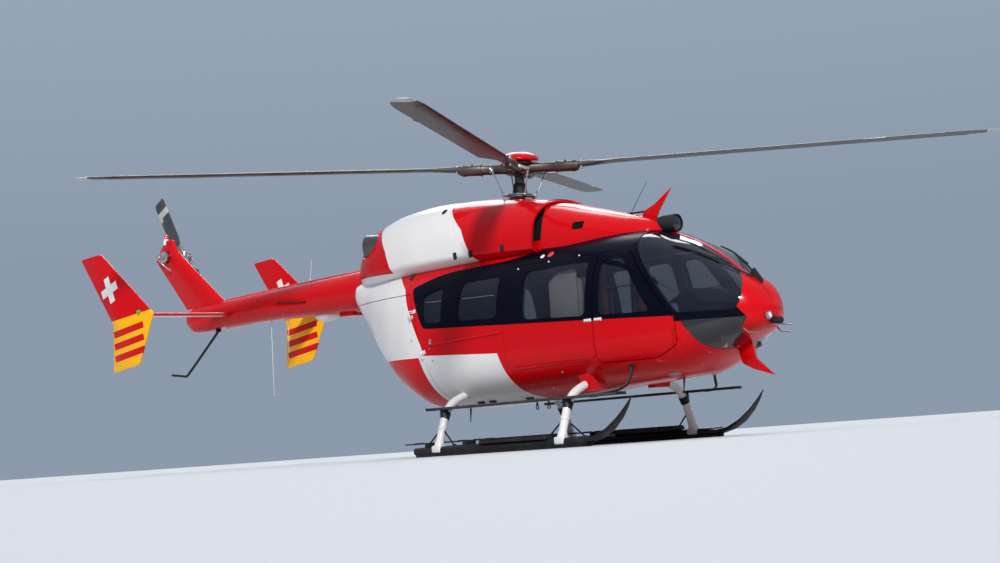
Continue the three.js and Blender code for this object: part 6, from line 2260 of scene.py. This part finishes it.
@dataclass
class Fittings:
    """Everything small that stands on the skin."""

    ahead: Matrix = turned(90, "Y").freeze()
    cutters: tuple[tuple[str, str, Outline, Outline], ...] = (
        ("upper_cutter", "wire_cutter_top", metres((
            (1880, 2430), (2065, 2400), (2120, 2492), (2325, 2745), (2075, 2592), (1912, 2530))),
         metres(((2085, 2470), (2120, 2492), (2315, 2732), (2290, 2705), (2110, 2505)))),
        ("lower_cutter", "wire_cutter_low", metres((
            (3060, 920), (3230, 1010), (3290, 790), (3515, 605), (3240, 690), (3100, 760))),
         metres(((3262, 905), (3290, 792), (3500, 617), (3300, 800), (3275, 905)))))
    wiper: Outline = ((3.32, 0.055), (3.10, 0.20), (2.84, 0.33), (2.62, 0.42))
    stand_off: float = 0.014
    knuckle: float = 0.0503

    def build(self) -> None:
        """Makes the fittings."""
        self._nose()
        self._cutters()
        self._lamp()
        self._wipers()
        for name, side in SIDES.items():
            self._door(name, side)
        self._belly()
        for name, side in SIDES.items():
            self._hinges(name, side)

    def _nose(self) -> None:
        """Makes the round lamp with a bright rim, the sensor and the probes."""
        tip = POD_SKIN.rows[0][0]
        lens = shift(tip - 0.004, -0.100, 1.232) @ turned(14, "Z") @ self.ahead
        rim = ((0.034, 0.0), (0.046, 0.0), (0.046, 0.030), (0.042, 0.036), (0.036, 0.036),
               (0.034, 0.030))
        glass = ((0.0, 0.012), (0.036, 0.012), (0.036, 0.026), (0.026, 0.033), (0.0, 0.037))
        piece("nose_lamp_rim", Form().lathe(rim, lens, 48, closed=True), STEEL)
        piece("nose_lamp_glass", Form().lathe(glass, lens, 40), WHITE_LAMP)
        sensor = Form().bar((tip - 0.02, 0, 1.180), (tip + 0.10, 0, 1.172), 0.036, 0.034, 32, 0.006)
        sensor.bar((tip + 0.09, 0, 1.173), (tip + 0.112, 0, 1.171), 0.028, 0.024, 32, 0.003)
        piece("nose_sensor", sensor, BLACK_PLASTIC)
        probe = Form().bar((tip - 0.08, 0, 1.150), (tip + 0.10, 0, 1.128), 0.011, 0.010, 20)
        probe.bar((tip + 0.10, 0, 1.128), (tip + 0.245, 0, 1.110), 0.010, 0.007, 20, 0.001)
        for y in (-0.30, 0.30):
            base = Vector((3.36, y, 1.12))
            probe.bar(base, base + Vector((0.07, 0, -0.06)), 0.008, 0.007, 14)
            probe.bar(base + Vector((0.06, 0, -0.052)), base + Vector((0.20, 0, -0.070)), 0.007,
                      0.005, 14)
        piece("pitot_probes", probe, STEEL)

    def _cutters(self) -> None:
        """Makes the cable cutters with their blades and stay, and the post's deflector."""
        edges = Form()
        for name, node, outline, edge in self.cutters:
            fin = Form().prism(outline, -0.009, 0.009, 0.012, round_by=0.004)
            piece(name, fin, RED_PAINT, node)
            edges.prism(edge, -0.0045, 0.0045, 0.001)
        piece("cutter_blades", edges, STEEL)
        stay = Form().bar((1.66, 0, 2.535), (1.925, 0, 2.53), 0.010, sides=16)
        stay.bar((1.70, 0.02, 2.52), (1.97, 0.02, 2.86), 0.0035, 0.002, 10)
        stay.bar((1.70, 0.02, 2.50), (1.70, 0.02, 2.55), 0.014, 0.010, 16)
        piece("cutter_stay", stay, BLACK_TUBE)
        outline = metres(((3265, 1680), (3346, 1757), (3450, 1612), (3405, 1530)))
        deflector = Form().prism(outline, -0.016, 0.016, 0.014, round_by=0.008)
        piece("post_deflector", deflector, BLACK_PLASTIC)

    def _lamp(self) -> None:
        """Makes the dome light in front of the roof fairing, with its glass front."""
        place = shift(2.075, 0, 2.352) @ self.ahead
        shell = ((0.0, -0.01), (0.05, 0.0), (0.080, 0.03), (0.095, 0.08), (0.100, 0.16),
                 (0.100, 0.285), (0.096, 0.297), (0.086, 0.297), (0.084, 0.27), (0.0, 0.27))
        glass = ((0.0, 0.272), (0.083, 0.272), (0.083, 0.284), (0.05, 0.293), (0.0, 0.297))
        piece("roof_lamp_shell", Form().lathe(shell, place, 64), BLACK_PLASTIC, "roof_lamp")
        piece("roof_lamp_glass", Form().lathe(glass, place, 48), LAMP_GLASS)
        base = Form().box((2.09, -0.05, 2.22), (2.29, 0.05, 2.30), 0.02, 3)
        piece("roof_lamp_base", base, BLACK_PLASTIC)

    def _wipers(self) -> None:
        """Makes the two wipers on the windscreen with arms, blades and pivots."""
        form = Form()
        for side in SIDES.values():
            path = []
            for x, y in self.wiper:
                half, _, high, wide = POD_SKIN.row(x)
                share = max(1 - abs(y / half) ** POD_SKIN.up, 0.0) ** (1 / POD_SKIN.up)
                path.append(Vector((x, side * y, wide + share * (high - wide) + self.stand_off)))
            form.sweep(smooth_path(path[:3], 5), 0.010, 12)
            start = path[1] + Vector((0.05, -side * 0.05, 0.0))
            form.sweep(smooth_path([start, *path[2:]], 6), 0.014, 10, 0.7)
            form.bar(path[0] - Vector((0, 0, 0.03)), path[0] + Vector((0, 0, 0.012)), 0.024,
                     sides=20, round_by=0.003)
        piece("wipers", form, BLACK_PLASTIC)

    @staticmethod
    def _rail_height(x: float) -> float:
        """Height of the sliding door's rail at a station; it climbs forwards."""
        return 1.285 + 0.04 * (x + 0.67)

    def _door(self, name: str, side: int) -> None:
        """Makes the handles, rails, lamps and trim of one side's doors.

        Args:
            name: The side's name.
            side: Its sign along Y.
        """
        leaf = f"pilot_door_{name}_leaf"
        handle = Form().box((-0.045, -0.010, 0.004), (0.045, 0.010, 0.015), 0.005, 3)
        handle.box((-0.052, -0.017, -0.004), (0.052, 0.017, 0.005), 0.004)
        for label, x, body in (("pilot", 1.865, leaf), ("cabin", 1.725, "airframe")):
            one = Form().add(handle, POD_SKIN.facing(x, 1.345, side))
            piece(f"{label}_handle_{name}", one, WHITE_PAINT, body=body)
        rail = Form().sweep([POD_SKIN.at(x, self._rail_height(x), side, 0.006)
                             for x in np.linspace(-0.67, 0.45, 14)], 0.009, 10, 1.6)
        for x in (-0.66, -0.30, 0.10, 0.43):
            rail.add(Form().bar((0, 0, 0), (0, 0, 0.014), 0.010, sides=12),
                     POD_SKIN.facing(x, self._rail_height(x), side))
        piece(f"slide_rail_{name}", rail, RED_PAINT)
        stop = Form().box((-0.02, -0.03, 0.0), (0.02, 0.03, 0.02), 0.004)
        piece(f"rail_stop_{name}", Form().add(stop, POD_SKIN.facing(-0.69, 1.318, side)), STEEL)
        lens = ((0.0, -0.004), (0.020, -0.004), (0.020, 0.006), (0.012, 0.014), (0.0, 0.016))
        for label, x, z, wide, deep, finish in (
                ("lamp", 0.93, 2.132, 1.4, 0.8, WHITE_LAMP), ("lamp_red", 1.045, 2.142, 2.1, 1.1, RED_LAMP)):
            lamp = Form().lathe(lens, Matrix.Diagonal((wide, deep, 0.5, 1.0)), 32)
            made = Form().add(lamp, POD_SKIN.facing(x, z, side))
            piece(f"door_{label}_{name}", made, finish)
        button = Form().bar((0, 0, -0.003), (0, 0, 0.007), 0.011, sides=20, round_by=0.002)
        buttons = Form().add(button, *(POD_SKIN.facing(x, z, side) for x, z in (
            (1.073, 2.055), (1.508, 2.075), (0.631, 2.020))))
        piece(f"window_buttons_{name}", buttons, WHITE_PAINT)
        cover = Form().box((-0.055, -0.028, -0.006), (0.055, 0.028, 0.003), 0.006, 3)
        cover.box((-0.040, -0.010, 0.002), (0.010, 0.010, 0.006), 0.003)
        place = POD_SKIN.facing(2.515, 0.829, side) @ Matrix.Rotation(-0.5, 4, "Z")
        piece(f"step_cover_{name}", Form().add(cover, place), RED_PAINT)
        sill = [POD_SKIN.at(x, 0.905 + 0.032 * (x - 0.83), side, 0.004)
                for x in np.linspace(0.55, 1.72, 14)]
        piece(f"door_sill_strip_{name}", Form().sweep(sill, 0.006, 10), RED_PAINT)
        bar = [POD_SKIN.at(x, 1.67, side, -0.001) for x in np.linspace(1.90, 2.31, 8)]
        piece(f"pilot_pane_bar_{name}", Form().sweep(bar, 0.006, 8), BLACK_PLASTIC, body=leaf)

    def _belly(self) -> None:
        """Makes the lamps, drains, cleats and hooks under the belly."""
        flat = Matrix.Identity(4)
        lens = ((0.0, -0.01), (0.060, -0.01), (0.060, 0.006), (0.04, 0.018), (0.0, 0.022))
        rim = ((0.058, -0.004), (0.068, -0.004), (0.068, 0.008), (0.058, 0.010))
        rows = (
            ("lamps", Form().lathe(lens, flat, 40), ((2.47, 0.70),)),
            ("screws", Form().lathe(rim, flat, 40, closed=True), ((2.47, 0.70),)),
            ("screws", Form().bar((0, 0, -0.004), (0, 0, 0.008), 0.016, sides=20, round_by=0.003),
             ((1.24, 0.82), (2.05, 0.715), (0.95, 0.67))),
            ("fittings", Form().box((-0.05, -0.014, 0.0), (0.05, 0.014, 0.018), 0.005),
             ((-0.30, 0.585), (-0.12, 0.585), (0.42, 0.585))),
            ("screws", Form().bar((0, 0, -0.004), (0, 0, 0.007), 0.009, sides=16, round_by=0.002),
             ((-0.72, 1.24), (-0.68, 1.10), (-1.03, 1.36), (-0.60, 0.66))))
        forms = {label: Form() for label in ("fittings", "screws", "lamps")}
        for side in SIDES.values():
            for label, form, places in rows:
                forms[label].add(form, *(POD_SKIN.facing(x, z, side) for x, z in places))
        dark = forms["fittings"]
        low = POD_SKIN.row(0.20)[1]
        ring = ((0.016, -0.004), (0.024, -0.004), (0.024, 0.004), (0.016, 0.004))
        for x in (0.12, 0.30):
            dark.bar((x, 0, low + 0.01), (x, 0, low - 0.045), 0.012, sides=16)
            dark.lathe(ring, shift(x, 0, low - 0.06) @ turned(90, "X"), 24, closed=True)
        for x in (-0.95, 2.30):
            foot = POD_SKIN.row(x)[1]
            dark.bar((x, 0.0, foot + 0.01), (x - 0.02, 0.0, foot - 0.16), 0.012, 0.004, 14)
        for (label, form), finish in zip(forms.items(), (BLACK_TUBE, STEEL, CLEAR_GLASS)):
            piece(f"belly_{label}", form, finish)

    @staticmethod
    def _hinge_half(form: Form, centre: Vector, along: Vector, across: Vector, side: int) -> None:
        """Adds half of a hinge: a knuckle with two arms to a plate on the skin.

        Args:
            form: What it joins.
            centre: The middle of the knuckle.
            along: The hinge's axis.
            across: Where the plate lies from the knuckle.
            side: -1 for starboard, 1 for port.
        """
        form.bar(centre - along * 0.024, centre + along * 0.024, 0.008, sides=24, round_by=0.0015)
        foot = centre + across * 0.030
        base = POD_SKIN.at(foot.x, foot.z, side)
        out = POD_SKIN.normal(base)
        first = (across - out * across.dot(out)).normalized()
        turn = Matrix((first, out.cross(first), out)).transposed().to_4x4()
        plate = Form().box((-0.024, -0.023, -0.003), (0.024, 0.023, 0.004), 0.0025)
        for v in (0.013, -0.013):
            plate.bar((0.012, v, 0.003), (0.012, v, 0.0065), 0.0045, sides=16, round_by=0.001)
        form.add(plate, Matrix.Translation(base) @ turn)
        for step in (-0.012, 0.012):
            form.bar(centre + along * step + across * 0.003, base + along * step - across * 0.012,
                     0.006, 0.008, 16)

    def _hinges(self, name: str, side: int) -> None:
        """Makes the hinges of one side's pilot's and rear door, half on the leaf and half on the frame.

        Args:
            name: The side's name.
            side: Its sign along Y.
        """
        up, ahead = Vector((0, 0, 1)), Vector((1, 0, 0))
        top, foot = (Vector((x, 0, z)) for x, z in (Pod.clam_top, Pod.clam_foot))
        lean = (top - foot).normalized()
        y_door, y_clam = (side * (float(POD_SKIN.row(x)[0]) + self.stand_off) for x in (2.770, -0.640))
        door = [Vector((2.790, y_door, z)) for z in (1.026, 1.128)]
        clam = [foot.lerp(top, (z - foot.z) / (top.z - foot.z)) + Vector((0.004, y_clam, 0))
                for z in (1.150, 1.640)]
        for label, points, axis, across, body, finish in (
                ("pilot", door, up, ahead, f"pilot_door_{name}_leaf", RED_PAINT),
                ("clam", clam, lean, Vector((lean.z, 0, -lean.x)), f"clamshell_{name}_leaf", WHITE_PAINT)):
            leaf, fixed = Form(), Form()
            for point in points:
                self._hinge_half(leaf, point, axis, -across, side)
                self._hinge_half(fixed, point + axis * self.knuckle, axis, across, side)
            piece(f"{label}_hinge_leaf_{name}", leaf, finish, body=body)
            piece(f"{label}_hinge_frame_{name}", fixed, finish)


@dataclass
class Studio:
    """Floor, lights and camera."""

    focal: float = 74.95
    photo_eye: Point = (16.356, -17.804, -2.918)
    right: Point = (0.71844, 0.69245, -0.06605)
    down: Point = (-0.18573, 0.09946, -0.97755)
    ahead: Point = (-0.67034, 0.71458, 0.20006)
    eye_height: float = 0.075
    aim: Point = (0.4, 0.0, 1.55)
    floor_radius: float = 2000.0
    # Name, place, strength, angle in degrees and colour
    suns: tuple[tuple[str, Point, float, float, Point], ...] = (
        ("key", (9.5, -9.0, 8.0), 2.45, 7.0, (1.0, 0.965, 0.92)),
        ("rim", (-8.0, 9.0, 9.0), 0.9, 30.0, (0.96, 0.98, 1.0)))

    @staticmethod
    def _object(name: str, data: bpy.types.ID, place: Matrix) -> bpy.types.Object:
        """Puts something into the scene."""
        made = bpy.data.objects.new(name, data)
        made.matrix_world = place
        bpy.context.scene.collection.objects.link(made)
        return made

    def camera(self) -> None:
        """Sets the camera at the photograph's azimuth, just above the floor."""
        eye = Vector((*self.photo_eye[:2], self.eye_height))
        aim = Vector(self.aim)
        turn = (aim - Vector(self.photo_eye)).rotation_difference(aim - eye).to_matrix()
        right, down, ahead = (turn @ Vector(v) for v in (self.right, self.down, self.ahead))
        data = bpy.data.cameras.new("camera")
        data.lens = self.focal
        data.sensor_width = 36.0
        data.clip_start, data.clip_end = 0.05, 2 * self.floor_radius
        axes = Matrix((right, -down, -ahead)).transposed().to_4x4()
        place = Matrix.Translation(eye + Vector((STATION_0, 0, 0))) @ axes
        bpy.context.scene.camera = self._object("camera", data, place)

    def floor(self) -> None:
        """Lays the pale floor."""
        form = Form()
        bmesh.ops.create_circle(form.bm, cap_ends=True, segments=96, radius=self.floor_radius)
        mesh = form.mesh("floor")
        material = bpy.data.materials.new("pale_floor")
        material.use_nodes = True
        Nodes(material.node_tree).fit(material.node_tree.nodes["Principled BSDF"],
                                      {"Base Color": (0.56, 0.57, 0.58), "Roughness": 0.85})
        mesh.materials.append(material)
        self._object("floor", mesh, Matrix.Identity(4))

    def lights(self) -> None:
        """Sets broad soft lights and a pale sky that is darker at the horizon."""
        for name, place, power, spread, colour in self.suns:
            data = bpy.data.lights.new(name, "SUN")
            data.angle = math.radians(spread)
            data.energy = power
            data.color = colour
            aim = (-Vector(place)).to_track_quat("-Z", "Y").to_matrix().to_4x4()
            self._object(name, data, Matrix.Translation(place) @ aim)
        scene = bpy.context.scene
        scene.world = bpy.data.worlds.new("studio")
        scene.world.use_nodes = True
        tree = scene.world.node_tree
        nodes = Nodes(tree)
        height = nodes.level(nodes.add("TexCoord").outputs["Generated"], "Z")
        above = nodes.mix(nodes.span(height, 0.10, 0.75), (0.40, 0.48, 0.59), (0.80, 0.88, 1.0))
        colour = nodes.mix(nodes.span(height, 0.0, -0.02), above, (0.75, 0.77, 0.80))
        nodes.fit(tree.nodes["Background"], {"Color": colour, "Strength": 0.62})
        scene.view_settings.view_transform = "Standard"
        scene.view_settings.look = "Medium High Contrast"

    def build(self) -> None:
        """Makes the studio."""
        self.camera()
        self.floor()
        self.lights()


def main() -> None:
    """Builds the aircraft and the studio."""
    logging.basicConfig(level=logging.INFO, format="%(name)s: %(message)s")
    for part in (Studio(), Pod(), Glazing(), Cowlings(), Tail(), MainRotor(), TailRotor(),
                 LandingGear(), Cabin(), Fittings()):
        LOG.info("building %s", type(part).__name__)
        part.build()
    for name, finish in KEPT.items():
        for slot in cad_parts[name].material_slots:
            slot.material = finish.material()


if __name__ == "__main__":
    main()
